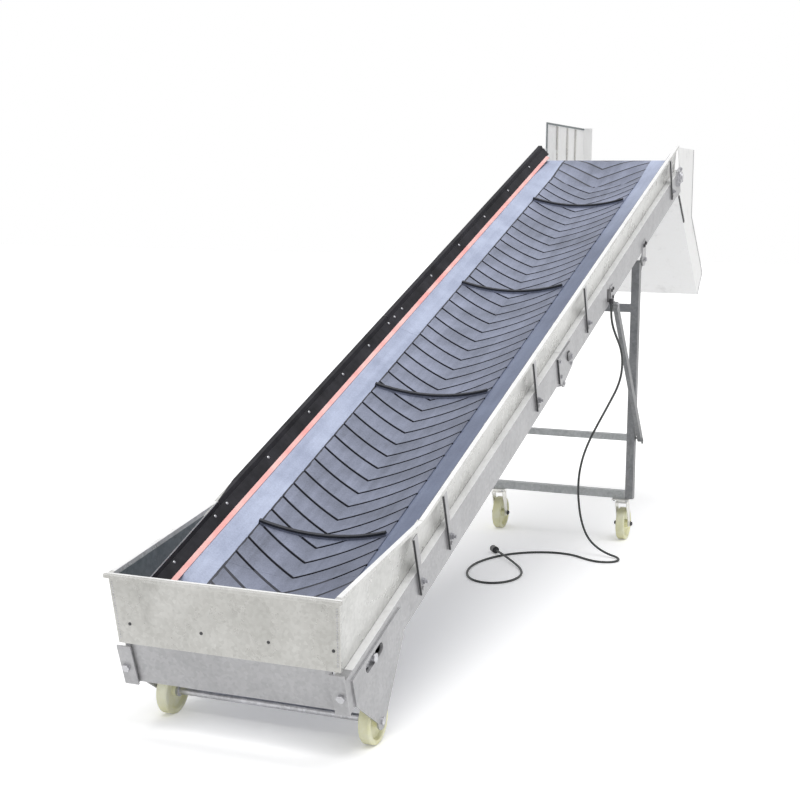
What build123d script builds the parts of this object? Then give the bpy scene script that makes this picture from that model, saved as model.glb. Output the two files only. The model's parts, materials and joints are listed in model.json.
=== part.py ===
import os
from math import asin, atan2, cos, degrees, pi, radians, sin, tan

from build123d import *

os.makedirs("parts", exist_ok=True)

# All lengths are millimetres and all angles degrees. X is the width, Y runs
# from the hopper to the head, Z is up, and the floor is at zero.
# Places on the conveyor are given as s, the distance up the incline from the
# hopper's front face, and n, the height out of the plane of the side hems.
inclineAngle = 20.37
hemHeight = 433.0
railLength = 4650.0
foldAt = 2290.0
foldGap = 0.5

# Side sheets, from the folded hem down to the ledge of the rail.
hemHalfWidth = 400.0
hemWidth = 17.0
hemDepth = 13.0
sheet = 3.0
footHalfWidth = 368.0
footFlange = 10.0
hopperRise = 131.0
hopperLength = 670.0
hopperHalfWidth = 403.0
frontFootHalfWidth = 390.0
frontFootDepth = 104.5
rimOverhang = 9.0

# Side rails, channels that open inwards.
webHalfWidth = 396.0
ledgeDepth = 141.0
railDepth = 263.0
railWall = 5.0
railFlange = 40.0
railLead = 43.0
endPlateWidth = 50.0
endPlateReach = 4.0
endPlateTop = 115.0
endPlate = 6.0
tailPlateSetback = 8.0

# Belt, its chevrons and its cleats.
beltHalfWidth = 350.0
beltEdgeDepth = 50.0
beltCentreDepth = 132.0
beltThickness = 8.0
patternHalfWidth = 248.5
chevronFirst = 55.6
chevronPitch = 94.6
chevronRise = 163.0
chevronHeight = 5.0
chevronGroove = 9.0
grooveBite = 0.5
cleatHeight = 16.0
cleatRoot = 2.0
cleatThickness = 12.0
topCleatShares = (0.148, 0.383, 0.615, 0.860)
returnCleatShares = (0.245, 0.435, 0.700, 0.930)
returnDepth = 252.0
transition = 250.0
beltLead = 25.0
beltClearance = 0.3

# Drums and the tail take-ups.
tailDrumRadius = 47.7
tailDrumAt = 165.0
headDrumRadius = 80.0
headDrumInset = 50.0
drumHalfLength = 345.0
tailShaftRadius = 15.0
headShaftRadius = 15.0
slotLength = 140.0
slotHeight = 36.0
takeUpBlock = 60.0
takeUpWidth = 22.0
takeUpScrewRadius = 7.0
takeUpHeadRadius = 14.0
takeUpHead = 10.0
shaftEnd = 6.0
runningClearance = 0.05
closeClearance = 0.3

# Belt supports: troughed rolls on cross tubes, and slides for the return belt.
rollRadius = 25.0
rollHalfLength = 100.0
rollShaftRadius = 6.0
sideRollAt = 215.0
crossTubeDepth = 205.0
crossTubeHeight = 25.0
crossTubeWidth = 40.0
crossTubeWall = 2.5
rollPlate = 5.0
rollPlateWidth = 32.0
innerPlateAt = 116.0
innerPlateTop = 150.0
outerPlateAt = 330.0
outerPlateTop = 96.0
slideInner = 300.0
slideThickness = 5.7
slideStart = 260.0
slideEndInset = 110.0
lowerStationShares = (0.25, 0.56, 0.87)
upperStationShares = (0.10, 0.36, 0.62, 0.86)

# Rubber seals between the side sheets and the belt.
sealThickness = 6.0
sealTopDepth = 16.0
sealTopGap = 1.2
sealFootHalfWidth = 352.0

# Straps from the hem over the ledge to the web.
strapWidth = 40.0
strapThickness = 4.0
strapDepth = 232.0
strapBoltRadius = 7.0
strapBoltHead = 6.0
strapBoltDepth = 216.0
lowerStrapShares = (0.127, 0.189, 0.417)
upperStrapShares = (0.583, 0.955)

# Fold hinge under the rails.
foldPivotDepth = 285.0
foldPinRadius = 8.0
foldLugInner = 378.0
foldLugOuter = 390.0
foldLugLength = 90.0
foldLugRadius = 15.0
foldPlateStart = 50.0
foldPlateEnd = 140.0
foldPlateTop = 150.0
foldPlate = 6.0
foldPlateRadius = 18.0
foldBossAt = 90.0
foldBossDepth = 198.0
foldBossRadius = 17.0
foldBoss = 12.0
pinHead = 5.0

# Wheel brackets and wheels at the low end.
bracketPlate = 6.0
bracketTop = 165.0
bracketLength = 400.0
lowAxleAt = 290.0
lowWheelRadius = 80.0
lowWheelWidth = 40.0
lowWheelGap = 6.0
lowAxleRadius = 12.5
lowAxleCollar = 20.0
lowAxleCollarLength = 8.0
bracketEye = 30.0

# Stand under the upper section.
standAt = 3586.0
tube = 40.0
tubeWall = 3.0
postHalfWidth = 374.0
postTopDrop = 44.0
legPivotDrop = 46.8
legPivotShift = 40.0
legPinRadius = 8.0
legEarRadius = 20.0
legEar = 6.0
lowBarHeight = 223.0
midBarHeight = 525.0
midBarDepth = 31.0
highBarHeight = 1185.0
legBracketHalfWidth = 34.0
legBracketHeight = 92.0
legBracket = 6.0

# Braces from the upper rails to the posts.
bracePivotAt = 3134.0
bracePivotDepth = 290.0
braceInner = 404.0
braceThickness = 20.0
braceWidth = 36.0
braceFootHeight = 537.0
braceFootShift = 19.0
bracePinRadius = 8.0
braceLug = 6.0
braceLugHalfWidth = 26.0
braceLugTop = 190.0
quickPinRadius = 5.0
quickPinReach = 0.5
quickPinRing = 14.0
quickPinWire = 2.5

# Castors under the low crossbar.
castorHalfTrack = 336.0
castorTrail = 35.0
castorRadius = 84.0
castorWidth = 42.0
castorHubHalf = 26.0
castorHubRadius = 22.0
castorRim = 16.0
castorWebHalf = 7.0
castorAxleRadius = 6.0
castorPlateLength = 110.0
castorPlateWidth = 86.0
castorPlate = 5.0
raceRadius = 28.0
raceHeight = 13.0
kingPinRadius = 8.0
crownGap = 0.5
crownThickness = 6.0
forkLeg = 4.0
forkHalfWidth = 27.0
forkTopHalf = 30.0
forkEye = 17.0
axleNut = 7.0
axleNutRadius = 11.0

# Discharge chute, its side walls and the tall guard on the left.
chuteInset = 67.0
chuteStartDepth = 268.0
chuteReach = 640.7
chuteDrop = 846.6
chuteWallDepth = 170.0
wallTopDrop = 11.6
wallReach = 400.7
guardStart = 120.7
guardReach = 900.7
guardRise = 138.4
guardFootDrop = 351.6
guardEndDrop = 171.6
guardKneeReach = 430.7
guardFlange = 54.0
bearingHalf = 45.0
bearingThickness = 12.0
bearingBossRadius = 30.0
bearingBoss = 22.0
shaftStub = 28.0

# Cable, its gland and its plug. The route is a list chosen by hand, each point
# as x, the distance from the hopper face, and the height.
cableRadius = 5.5
cableArcShare = 0.45
glandRadius = 10.0
glandLength = 26.0
glandPlate = 4.0
glandPlateHalf = 15.0
glandPlateRise = 56.0
plugRadius = 17.0
plugLength = 46.0
plugNeckRadius = 9.0
plugNeckLength = 16.0
cableRoute = (
    (412, 2962, 1262),
    (412, 2962, 1215),
    (417, 2976, 1160),
    (428, 3012, 1105),
    (437, 3065, 1050),
    (436, 3112, 985),
    (423, 3150, 910),
    (397, 3175, 840),
    (362, 3190, 775),
    (325, 3198, 705),
    (288, 3203, 635),
    (252, 3206, 560),
    (224, 3206, 480),
    (208, 3206, 395),
    (206, 3206, 310),
    (214, 3206, 225),
    (232, 3204, 145),
    (266, 3198, 78),
    (318, 3192, 36),
    (376, 3180, 14),
    (430, 3158, 8),
    (450, 3104, 6),
    (424, 3052, 6),
    (364, 3034, 6),
    (300, 3060, 6),
    (208, 3130, 6),
    (115, 3140, 6),
    (20, 3105, 6),
    (-62, 3035, 6),
    (-118, 2945, 6),
    (-152, 2845, 6),
    (-168, 2735, 6),
    (-158, 2625, 6),
    (-128, 2520, 6),
    (-68, 2432, 6),
    (15, 2405, 6),
    (85, 2458, 6),
    (112, 2550, 6),
    (104, 2645, 6),
    (68, 2735, 8),
    (12, 2812, 12),
    (-48, 2880, 19),
    (-102, 2945, 21.5),
    (-142, 2998, 19.5),
)

slope = radians(inclineAngle)
frontLean = slope - atan2(railLead, hopperRise + frontFootDepth)
lowEnd = -(hemWidth - sheet) * cos(frontLean) - hopperRise * sin(slope)

# Places at the head, from the top end of the hems.
headSide = railLength * cos(slope)
headHeight = hemHeight + railLength * sin(slope)
headDrumAt = railLength - headDrumInset
slideEnd = railLength - slideEndInset
chuteStartAt = railLength - chuteInset
chuteEndSide = headSide + chuteReach
chuteEndHeight = headHeight - chuteDrop
wallTopHeight = headHeight - wallTopDrop
wallEndSide = headSide + wallReach
guardStartSide = headSide + guardStart
guardEndSide = headSide + guardReach
guardTopHeight = headHeight + guardRise
guardFootHeight = headHeight - guardFootDrop
guardEndFoot = headHeight - guardEndDrop
guardKneeSide = headSide + guardKneeReach
frontSide = -(lowEnd + guardEndSide) / 2

# Places on the stand, from the rails' underside above it.
legPivotSide = standAt + legPivotShift
railFootHeight = hemHeight - railDepth / cos(slope)
legPivotHeight = railFootHeight + legPivotSide * tan(slope) - legPivotDrop
postTop = railFootHeight + standAt * tan(slope) - postTopDrop
braceFootSide = standAt + braceFootShift

# The trough is one arc through both belt edges and the low centre line.
troughSag = beltCentreDepth - beltEdgeDepth
troughRadius = (beltHalfWidth**2 + troughSag**2) / (2 * troughSag)
troughCentre = troughRadius - beltCentreDepth
tailDrumDepth = returnDepth - beltThickness - beltClearance - tailDrumRadius
headDrumDepth = returnDepth - beltThickness - beltClearance - headDrumRadius
webInner = webHalfWidth - railWall


def along(s, n):
    """Side and height of a place given by s and n."""
    side = frontSide + s * cos(slope) - n * sin(slope)
    return side, hemHeight + s * sin(slope) + n * cos(slope)


def acrossPlane(s):
    """Section across the conveyor: x is the width and y is n."""
    return Plane(
        origin=(0, *along(s, 0)),
        x_dir=(1, 0, 0),
        z_dir=(0, -cos(slope), -sin(slope)),
    )


def sidePlane(x):
    """Side view in the conveyor's slope: x is s and y is n."""
    return Plane(
        origin=(x, *along(0, 0)),
        x_dir=(0, cos(slope), sin(slope)),
        z_dir=(1, 0, 0),
    )


def beltPlane(n):
    """View straight down on the belt: x is the width and y is s."""
    return Plane(
        origin=(0, *along(0, n)),
        x_dir=(1, 0, 0),
        z_dir=(0, -sin(slope), cos(slope)),
    )


def uprightPlane(x):
    """Level side view: x is the distance from the hopper face, y the height."""
    return Plane(origin=(x, frontSide, 0), x_dir=(0, 1, 0), z_dir=(1, 0, 0))


def keep(piece, name):
    """Labels a finished piece and writes it."""
    piece.part.label = name
    export_step(piece.part, f"parts/{name}.step")


def spanPlane(makePlane, side, inner, outer):
    """Plane at the lower x of a plate between two half widths on one side."""
    return makePlane(min(side * inner, side * outer))


def outline(points):
    """Closed outline through the points, as a face of the current sketch."""
    with BuildLine() as line:
        Polyline(*points, close=True)
    make_face(line.edges())


# Rails

def railProfile(side):
    inner = webHalfWidth - railFlange
    points = (
        (webHalfWidth, -ledgeDepth),
        (inner, -ledgeDepth),
        (inner, -ledgeDepth - railWall),
        (webInner, -ledgeDepth - railWall),
        (webInner, -railDepth + railWall),
        (inner, -railDepth + railWall),
        (inner, -railDepth),
        (webHalfWidth, -railDepth),
    )
    return [(side * x, n) for x, n in points]


def makeRail(side, start, end):
    with BuildPart() as rail:
        with BuildSketch(acrossPlane(start)):
            outline(railProfile(side))
        extrude(amount=-(end - start))
        if start < 0:
            with BuildSketch(spanPlane(sidePlane, side, webInner, webHalfWidth)):
                with Locations((tailDrumAt, -tailDrumDepth)):
                    SlotOverall(slotLength, slotHeight)
            extrude(amount=railWall, mode=Mode.SUBTRACT)
            plateMiddle = webHalfWidth + endPlateReach - endPlateWidth / 2
            plateHeight = railDepth - endPlateTop
            with BuildSketch(acrossPlane(start)):
                with Locations((side * plateMiddle, -railDepth + plateHeight / 2)):
                    Rectangle(endPlateWidth, plateHeight)
            extrude(amount=endPlate)
            with BuildSketch(acrossPlane(start)):
                with Locations((side * (webInner - takeUpWidth / 2), -tailDrumDepth)):
                    Circle(takeUpScrewRadius + closeClearance)
            extrude(amount=endPlate, mode=Mode.SUBTRACT)
        else:
            with BuildSketch(spanPlane(sidePlane, side, webInner, webHalfWidth)):
                with Locations((headDrumAt, -headDrumDepth)):
                    Circle(headShaftRadius + closeClearance)
            extrude(amount=railWall, mode=Mode.SUBTRACT)
    return rail


# Side sheets with hem, lean and foot

def sheetProfile(side, topHalfWidth, topHeight):
    points = (
        (topHalfWidth, topHeight),
        (topHalfWidth - hemWidth, topHeight),
        (footHalfWidth - sheet, -ledgeDepth + sheet),
        (footHalfWidth - footFlange, -ledgeDepth + sheet),
        (footHalfWidth - footFlange, -ledgeDepth),
        (footHalfWidth, -ledgeDepth),
        (topHalfWidth - hemWidth + sheet, topHeight - hemDepth),
        (topHalfWidth, topHeight - hemDepth),
    )
    return [(side * x, n) for x, n in points]


def makeSheet(side, start, end):
    with BuildPart() as panel:
        with BuildSketch(acrossPlane(start)):
            outline(sheetProfile(side, hemHalfWidth, 0))
        extrude(amount=-(end - start))
    return panel


frontPlane = Plane(
    origin=(0, *along(-railLead, -frontFootDepth)),
    x_dir=(1, 0, 0),
    z_dir=(0, -cos(frontLean), -sin(frontLean)),
)


def flareAt(s):
    """Half width and rise of the hopper's rim at one place."""
    share = (hopperLength - s) / hopperLength
    return hemHalfWidth + (hopperHalfWidth - hemHalfWidth) * share, hopperRise * share


def makeHopperSheet(side):
    """Side sheet that flares to the hopper's rim, cut to the front panel."""
    with BuildPart() as panel:
        with BuildSketch(acrossPlane(-railLead)):
            outline(sheetProfile(side, *flareAt(-railLead)))
        with BuildSketch(acrossPlane(hopperLength)):
            outline(sheetProfile(side, hemHalfWidth, 0))
        loft(ruled=True)
        split(bisect_by=frontPlane.offset(-sheet), keep=Keep.BOTTOM)
        with BuildSketch(acrossPlane(hopperLength)):
            outline(sheetProfile(side, hemHalfWidth, 0))
        extrude(amount=-(foldAt - foldGap - hopperLength))
    return panel


def makeHopperFront():
    rimReach = hemWidth - sheet
    top = (hopperRise + frontFootDepth) / cos(slope - frontLean)
    points = (
        (-hopperHalfWidth, top),
        (hopperHalfWidth, top),
        (frontFootHalfWidth, 0),
        (-frontFootHalfWidth, 0),
    )
    with BuildPart() as front:
        with BuildSketch(frontPlane):
            outline(points)
        extrude(amount=-sheet)
        with BuildSketch(frontPlane):
            with Locations((0, top - hemDepth / 2)):
                Rectangle(2 * (hopperHalfWidth + rimOverhang), hemDepth)
        extrude(amount=rimReach)
    return front


def makeTailCross():
    """Plate between the rails, with a narrower part up to the front panel."""
    height = railDepth - ledgeDepth - 2 * railWall
    screwAt = webInner - takeUpWidth / 2
    upperTop = frontFootDepth + closeClearance
    upperFoot = ledgeDepth + railWall + closeClearance
    upperHalf = webHalfWidth - railFlange - closeClearance
    with BuildPart() as cross:
        with BuildSketch(acrossPlane(tailPlateSetback - railLead)):
            with Locations((0, -ledgeDepth - railWall - height / 2)):
                Rectangle(2 * webInner, height)
            with Locations((0, -(upperTop + upperFoot) / 2)):
                Rectangle(2 * upperHalf, upperFoot - upperTop)
            with Locations((-screwAt, -tailDrumDepth), (screwAt, -tailDrumDepth)):
                Circle(takeUpScrewRadius + closeClearance, mode=Mode.SUBTRACT)
        extrude(amount=-railWall)
    return cross


# Straps

def makeStraps(shares):
    middle = (strapDepth - hemDepth) / 2
    with BuildPart() as straps:
        for side in (-1, 1):
            outer = hemHalfWidth
            for share in shares:
                s = share * railLength
                plane = spanPlane(sidePlane, side, outer - strapThickness, outer)
                with BuildSketch(plane):
                    with Locations((s, -hemDepth - middle)):
                        Rectangle(strapWidth, strapDepth - hemDepth)
                extrude(amount=strapThickness)
                plane = spanPlane(sidePlane, side, outer, outer + strapBoltHead)
                with BuildSketch(plane):
                    with Locations((s, -strapBoltDepth)):
                        RegularPolygon(strapBoltRadius, 6)
                extrude(amount=strapBoltHead)
    return straps


# Belt

def arcPoint(radius, angle, side=1):
    return side * radius * sin(angle), troughCentre - radius * cos(angle)


def arcBand(innerRadius, outerRadius, halfWidth):
    """Band of the trough between two radii, out to one half width."""
    angle = asin(halfWidth / troughRadius)
    with BuildLine() as line:
        ThreePointArc(
            arcPoint(innerRadius, angle, -1),
            arcPoint(innerRadius, 0),
            arcPoint(innerRadius, angle),
        )
        Line(arcPoint(innerRadius, angle), arcPoint(outerRadius, angle))
        ThreePointArc(
            arcPoint(outerRadius, angle),
            arcPoint(outerRadius, 0),
            arcPoint(outerRadius, angle, -1),
        )
        Line(arcPoint(outerRadius, angle, -1), arcPoint(innerRadius, angle, -1))
    make_face(line.edges())


def flatBand(depth):
    """Flat section, its corners in the same order as a trough's."""
    outline(
        (
            (-beltHalfWidth, -depth),
            (beltHalfWidth, -depth),
            (beltHalfWidth, -depth - beltThickness),
            (-beltHalfWidth, -depth - beltThickness),
        )
    )


def addWrap(drumAt, drumDepth, cut, way):
    """Belt round a drum, with its return strand; way is 1 at the tail."""
    outer = returnDepth - drumDepth
    inner = outer - beltThickness
    lead = drumAt + way * beltLead
    with BuildSketch(sidePlane(-beltHalfWidth)) as strand:
        with BuildLine():
            Polyline((cut, -returnDepth), (drumAt, -returnDepth))
            ThreePointArc(
                (drumAt, -returnDepth),
                (drumAt - way * outer, -drumDepth),
                (drumAt, -drumDepth + outer),
            )
            Polyline(
                (drumAt, -drumDepth + outer),
                (lead, -drumDepth + outer),
                (lead, -drumDepth + inner),
                (drumAt, -drumDepth + inner),
            )
            ThreePointArc(
                (drumAt, -drumDepth + inner),
                (drumAt - way * inner, -drumDepth),
                (drumAt, -drumDepth - inner),
            )
            Polyline(
                (drumAt, -drumDepth - inner),
                (cut, -drumDepth - inner),
                (cut, -returnDepth),
            )
        make_face()
    extrude(strand.sketch, amount=2 * beltHalfWidth)


def addTrough(flatAt, flatDepth, troughAt, cut):
    """Top strand, from its flat end over a drum to the full trough and the cut."""
    with BuildSketch(acrossPlane(flatAt)) as flat:
        flatBand(flatDepth)
    with BuildSketch(acrossPlane(troughAt)) as trough:
        arcBand(troughRadius, troughRadius + beltThickness, beltHalfWidth)
    loft(sections=(flat.sketch.face(), trough.sketch.face()), ruled=True)
    extrude(trough.sketch, amount=troughAt - cut)


def makeGrooves(start, end):
    """V grooves that point down the belt and part its pattern into chevrons."""
    reach = patternHalfWidth + chevronGroove
    rise = chevronRise * (reach + chevronGroove) / patternHalfWidth
    tips = [chevronFirst + k * chevronPitch for k in range(int(railLength / chevronPitch))]
    with BuildPart() as grooves:
        with BuildSketch(acrossPlane(start)):
            arcBand(troughRadius - 2 * chevronHeight, troughRadius + grooveBite, reach)
        extrude(amount=start - end)
        with BuildSketch(beltPlane(-beltCentreDepth - beltThickness)):
            for tip in (tip for tip in tips if start - rise < tip < end):
                outline(
                    (
                        (0, tip),
                        (reach + chevronGroove, tip + rise),
                        (reach + chevronGroove, tip + rise + chevronGroove),
                        (0, tip + chevronGroove),
                        (-reach - chevronGroove, tip + rise + chevronGroove),
                        (-reach - chevronGroove, tip + rise),
                    )
                )
        extrude(amount=beltCentreDepth, mode=Mode.INTERSECT)
    return grooves


def addTopCleat(s):
    inner = troughRadius - chevronHeight - cleatHeight
    with BuildSketch(acrossPlane(s)) as cleat:
        arcBand(inner, troughRadius + cleatRoot, patternHalfWidth)
    extrude(cleat.sketch, amount=-cleatThickness)


def addReturnCleat(s):
    height = chevronHeight + cleatHeight - foldGap
    with BuildSketch(acrossPlane(s)) as cleat:
        with Locations((0, -returnDepth - height / 2)):
            Rectangle(2 * patternHalfWidth, height)
    extrude(cleat.sketch, amount=-cleatThickness)


def makeBelt(drumAt, drumDepth, cut, way):
    topDepth = drumDepth - (returnDepth - drumDepth)
    lead = drumAt + way * beltLead
    full = lead + way * transition
    low, high = min(full, cut), max(full, cut)
    inner = troughRadius - chevronHeight
    grooves = makeGrooves(low, high)
    with BuildPart() as belt:
        addWrap(drumAt, drumDepth, cut, way)
        addTrough(lead, topDepth, full, cut)
        with BuildSketch(acrossPlane(low)) as pattern:
            arcBand(inner, troughRadius + cleatRoot, patternHalfWidth)
        extrude(pattern.sketch, amount=low - high)
        add(grooves.part, mode=Mode.SUBTRACT)
        for share in topCleatShares:
            if low < share * railLength < high:
                addTopCleat(share * railLength)
        for share in returnCleatShares:
            if low < share * railLength < high:
                addReturnCleat(share * railLength)
    return belt


# Drums

def makeDrum(drumAt, drumDepth, radius, shaftRadius, shaftHalf):
    with BuildPart() as drum:
        with BuildSketch(sidePlane(-drumHalfLength)):
            with Locations((drumAt, -drumDepth)):
                Circle(radius)
        extrude(amount=2 * drumHalfLength)
        with BuildSketch(sidePlane(-shaftHalf)):
            with Locations((drumAt, -drumDepth)):
                Circle(shaftRadius)
        extrude(amount=2 * shaftHalf)
    return drum


def makeTakeUps():
    blockEnd = tailDrumAt + takeUpBlock / 2
    blockStart = tailDrumAt - takeUpBlock / 2
    with BuildPart() as blocks:
        for side in (-1, 1):
            plane = spanPlane(sidePlane, side, webInner - takeUpWidth, webInner)
            with BuildSketch(plane):
                with Locations((tailDrumAt, -tailDrumDepth)):
                    Rectangle(blockEnd - blockStart, slotHeight)
                    Circle(tailShaftRadius + runningClearance, mode=Mode.SUBTRACT)
            extrude(amount=takeUpWidth)
            middle = side * (webInner - takeUpWidth / 2)
            with BuildSketch(acrossPlane(blockStart)):
                with Locations((middle, -tailDrumDepth)):
                    Circle(takeUpScrewRadius)
            extrude(amount=blockStart + railLead + endPlate + takeUpHead)
            with BuildSketch(acrossPlane(-railLead - endPlate)):
                with Locations((middle, -tailDrumDepth)):
                    RegularPolygon(takeUpHeadRadius, 6)
            extrude(amount=takeUpHead)
    return blocks


# Belt supports

def addSideRoll(s, side):
    angle = asin(sideRollAt / troughRadius)
    reach = troughRadius + beltThickness + beltClearance + rollRadius
    x, n = arcPoint(reach, angle, side)
    centre = acrossPlane(s).from_local_coords((x, n, 0))
    tip = acrossPlane(s).from_local_coords((x + side * cos(angle), n + sin(angle), 0))
    axis = tip - centre
    inner = (abs(x) - innerPlateAt) / cos(angle)
    outer = (outerPlateAt - abs(x)) / cos(angle)
    rollPlane = Plane(origin=centre - axis * rollHalfLength, z_dir=axis)
    shaftPlane = Plane(origin=centre - axis * inner, z_dir=axis)
    with BuildSketch(rollPlane) as roll:
        Circle(rollRadius)
    extrude(roll.sketch, amount=2 * rollHalfLength)
    with BuildSketch(shaftPlane) as shaft:
        Circle(rollShaftRadius)
    extrude(shaft.sketch, amount=inner + outer)


def addStation(s):
    """Cross tube between the webs, with three rolls on four plates."""
    with BuildSketch(sidePlane(-webInner)) as tubeEnd:
        with Locations((s, -crossTubeDepth - crossTubeHeight / 2)):
            Rectangle(crossTubeWidth, crossTubeHeight)
            Rectangle(
                crossTubeWidth - 2 * crossTubeWall,
                crossTubeHeight - 2 * crossTubeWall,
                mode=Mode.SUBTRACT,
            )
    extrude(tubeEnd.sketch, amount=2 * webInner)
    for place, top in ((innerPlateAt, innerPlateTop), (outerPlateAt, outerPlateTop)):
        for side in (-1, 1):
            with BuildSketch(sidePlane(side * place - rollPlate / 2)) as plate:
                with Locations((s, -(crossTubeDepth + top) / 2)):
                    Rectangle(rollPlateWidth, crossTubeDepth - top)
            extrude(plate.sketch, amount=rollPlate)
    depth = beltCentreDepth + beltThickness + beltClearance + rollRadius
    with BuildSketch(sidePlane(-rollHalfLength)) as roll:
        with Locations((s, -depth)):
            Circle(rollRadius)
    extrude(roll.sketch, amount=2 * rollHalfLength)
    with BuildSketch(sidePlane(-innerPlateAt)) as shaft:
        with Locations((s, -depth)):
            Circle(rollShaftRadius)
    extrude(shaft.sketch, amount=2 * innerPlateAt)
    for side in (-1, 1):
        addSideRoll(s, side)


def makeSupports(start, end, shares, slideFrom, slideTo):
    with BuildPart() as supports:
        for share in shares:
            addStation(start + share * (end - start))
        width = webInner - slideInner
        with BuildSketch(acrossPlane(slideFrom)):
            for side in (-1, 1):
                middle = side * (slideInner + width / 2)
                with Locations((middle, -railDepth + railWall + slideThickness / 2)):
                    Rectangle(width, slideThickness)
        extrude(amount=slideFrom - slideTo)
    return supports


def sealProfile(side, topHalfWidth, topHeight):
    """Strip from just inside a side sheet down to just over the belt's edge."""
    inner = topHalfWidth - hemWidth
    foot = footHalfWidth - sheet
    lean = (inner - foot) / (topHeight + ledgeDepth - sheet)
    top = foot + lean * (ledgeDepth - sheet - sealTopDepth) - sealTopGap
    footDepth = beltEdgeDepth - closeClearance
    points = (
        (top, -sealTopDepth),
        (top - sealThickness, -sealTopDepth),
        (sealFootHalfWidth - sealThickness, -footDepth),
        (sealFootHalfWidth, -footDepth),
    )
    return [(side * x, n) for x, n in points]


def makeSeals(start, end):
    with BuildPart() as seals:
        for side in (-1, 1):
            straight = start
            if start < hopperLength:
                straight = hopperLength
                with BuildSketch(acrossPlane(start)):
                    outline(sealProfile(side, *flareAt(start)))
                with BuildSketch(acrossPlane(hopperLength)):
                    outline(sealProfile(side, hemHalfWidth, 0))
                loft(ruled=True)
            with BuildSketch(acrossPlane(straight)):
                outline(sealProfile(side, hemHalfWidth, 0))
            extrude(amount=straight - end)
        if start < 0:
            split(bisect_by=frontPlane.offset(-sheet - foldGap), keep=Keep.BOTTOM)
    return seals


# Fold hinge

def makeFoldLugs():
    with BuildPart() as lugs:
        for side in (-1, 1):
            plane = spanPlane(sidePlane, side, foldLugInner, foldLugOuter)
            with BuildSketch(plane):
                outline(
                    (
                        (foldAt - foldLugLength, -railDepth),
                        (foldAt - foldLugRadius, -railDepth),
                        (foldAt, -foldPivotDepth + foldLugRadius),
                        (foldAt, -foldPivotDepth - foldLugRadius),
                    )
                )
                with Locations((foldAt, -foldPivotDepth)):
                    Circle(foldLugRadius)
                    Circle(foldPinRadius + runningClearance, mode=Mode.SUBTRACT)
            extrude(amount=foldLugOuter - foldLugInner)
    return lugs


def makeFoldPlates():
    inner = webHalfWidth + closeClearance
    outer = inner + foldPlate
    with BuildPart() as plates:
        for side in (-1, 1):
            with BuildSketch(spanPlane(sidePlane, side, inner, outer)):
                outline(
                    (
                        (foldAt - foldPlateStart, -foldPlateTop),
                        (foldAt + foldPlateEnd, -foldPlateTop),
                        (foldAt + foldPlateEnd, -railDepth),
                        (foldAt + foldPlateRadius, -foldPivotDepth),
                        (foldAt - foldPlateRadius, -foldPivotDepth),
                        (foldAt - foldPlateStart, -railDepth),
                    )
                )
                with Locations((foldAt, -foldPivotDepth)):
                    Circle(foldPlateRadius)
            extrude(amount=foldPlate)
            with BuildSketch(spanPlane(sidePlane, side, outer, outer + foldBoss)):
                with Locations((foldAt + foldBossAt, -foldBossDepth)):
                    Circle(foldBossRadius)
            extrude(amount=foldBoss)
            pinEnd = foldLugInner - pinHead
            plane = spanPlane(sidePlane, side, pinEnd, outer + pinHead)
            with BuildSketch(plane):
                with Locations((foldAt, -foldPivotDepth)):
                    Circle(foldPinRadius)
            extrude(amount=outer + pinHead - pinEnd)
    return plates


# Low wheels

def eyePlateOutline(eye, eyeRadius, points):
    outline(points)
    with Locations(eye):
        Circle(eyeRadius)


def makeWheelBrackets():
    axle = (lowAxleAt, lowWheelRadius)
    rows = (
        (0, bracketTop),
        (bracketLength, bracketTop),
        (bracketLength, railDepth),
    )
    with BuildPart() as brackets:
        for side in (-1, 1):
            outer = webHalfWidth + bracketPlate
            points = []
            for s, depth in rows:
                y, z = along(s, -depth)
                points.append((y - frontSide, z))
            points.append((lowAxleAt + bracketEye, lowWheelRadius))
            points.append((lowAxleAt - bracketEye, lowWheelRadius))
            y, z = along(0, -railDepth)
            points.append((y - frontSide, z))
            with BuildSketch(spanPlane(uprightPlane, side, webHalfWidth, outer)):
                eyePlateOutline(axle, bracketEye, points)
                with Locations(axle):
                    Circle(lowAxleRadius + runningClearance, mode=Mode.SUBTRACT)
            extrude(amount=bracketPlate)
            with BuildSketch(spanPlane(sidePlane, side, webHalfWidth, outer)):
                with Locations((tailDrumAt, -tailDrumDepth)):
                    SlotOverall(slotLength, slotHeight)
            extrude(amount=bracketPlate, mode=Mode.SUBTRACT)
    return brackets


def makeLowAxle():
    half = webHalfWidth + bracketPlate + shaftEnd
    wheelInner = webHalfWidth - lowWheelGap - lowWheelWidth
    with BuildPart() as axle:
        with BuildSketch(uprightPlane(-half)):
            with Locations((lowAxleAt, lowWheelRadius)):
                Circle(lowAxleRadius)
        extrude(amount=2 * half)
        for side in (-1, 1):
            collarOuter = wheelInner - closeClearance
            collarInner = collarOuter - lowAxleCollarLength
            with BuildSketch(spanPlane(uprightPlane, side, collarInner, collarOuter)):
                with Locations((lowAxleAt, lowWheelRadius)):
                    Circle(lowAxleCollar)
            extrude(amount=lowAxleCollarLength)
    return axle


def makeWheel(x, y, radius, width, hubHalf, bore):
    """Moulded wheel: bevelled tread, recessed web and a hub."""
    half = width / 2
    edge = castorRim / 4
    quarter = (
        (half - edge, radius),
        (half, radius - edge),
        (half, radius - castorRim),
        (castorWebHalf, radius - castorRim - edge),
        (castorWebHalf, castorHubRadius),
        (hubHalf, castorHubRadius - edge / 2),
        (hubHalf, bore),
    )
    mirrored = [(-across, out) for across, out in reversed(quarter)]
    plane = Plane(origin=(x, y, radius), x_dir=(1, 0, 0), z_dir=(0, -1, 0))
    with BuildPart() as wheel:
        with BuildSketch(plane):
            outline((*quarter, *mirrored))
        revolve(axis=Axis((x, y, radius), (1, 0, 0)))
    return wheel


# Stand

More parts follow.
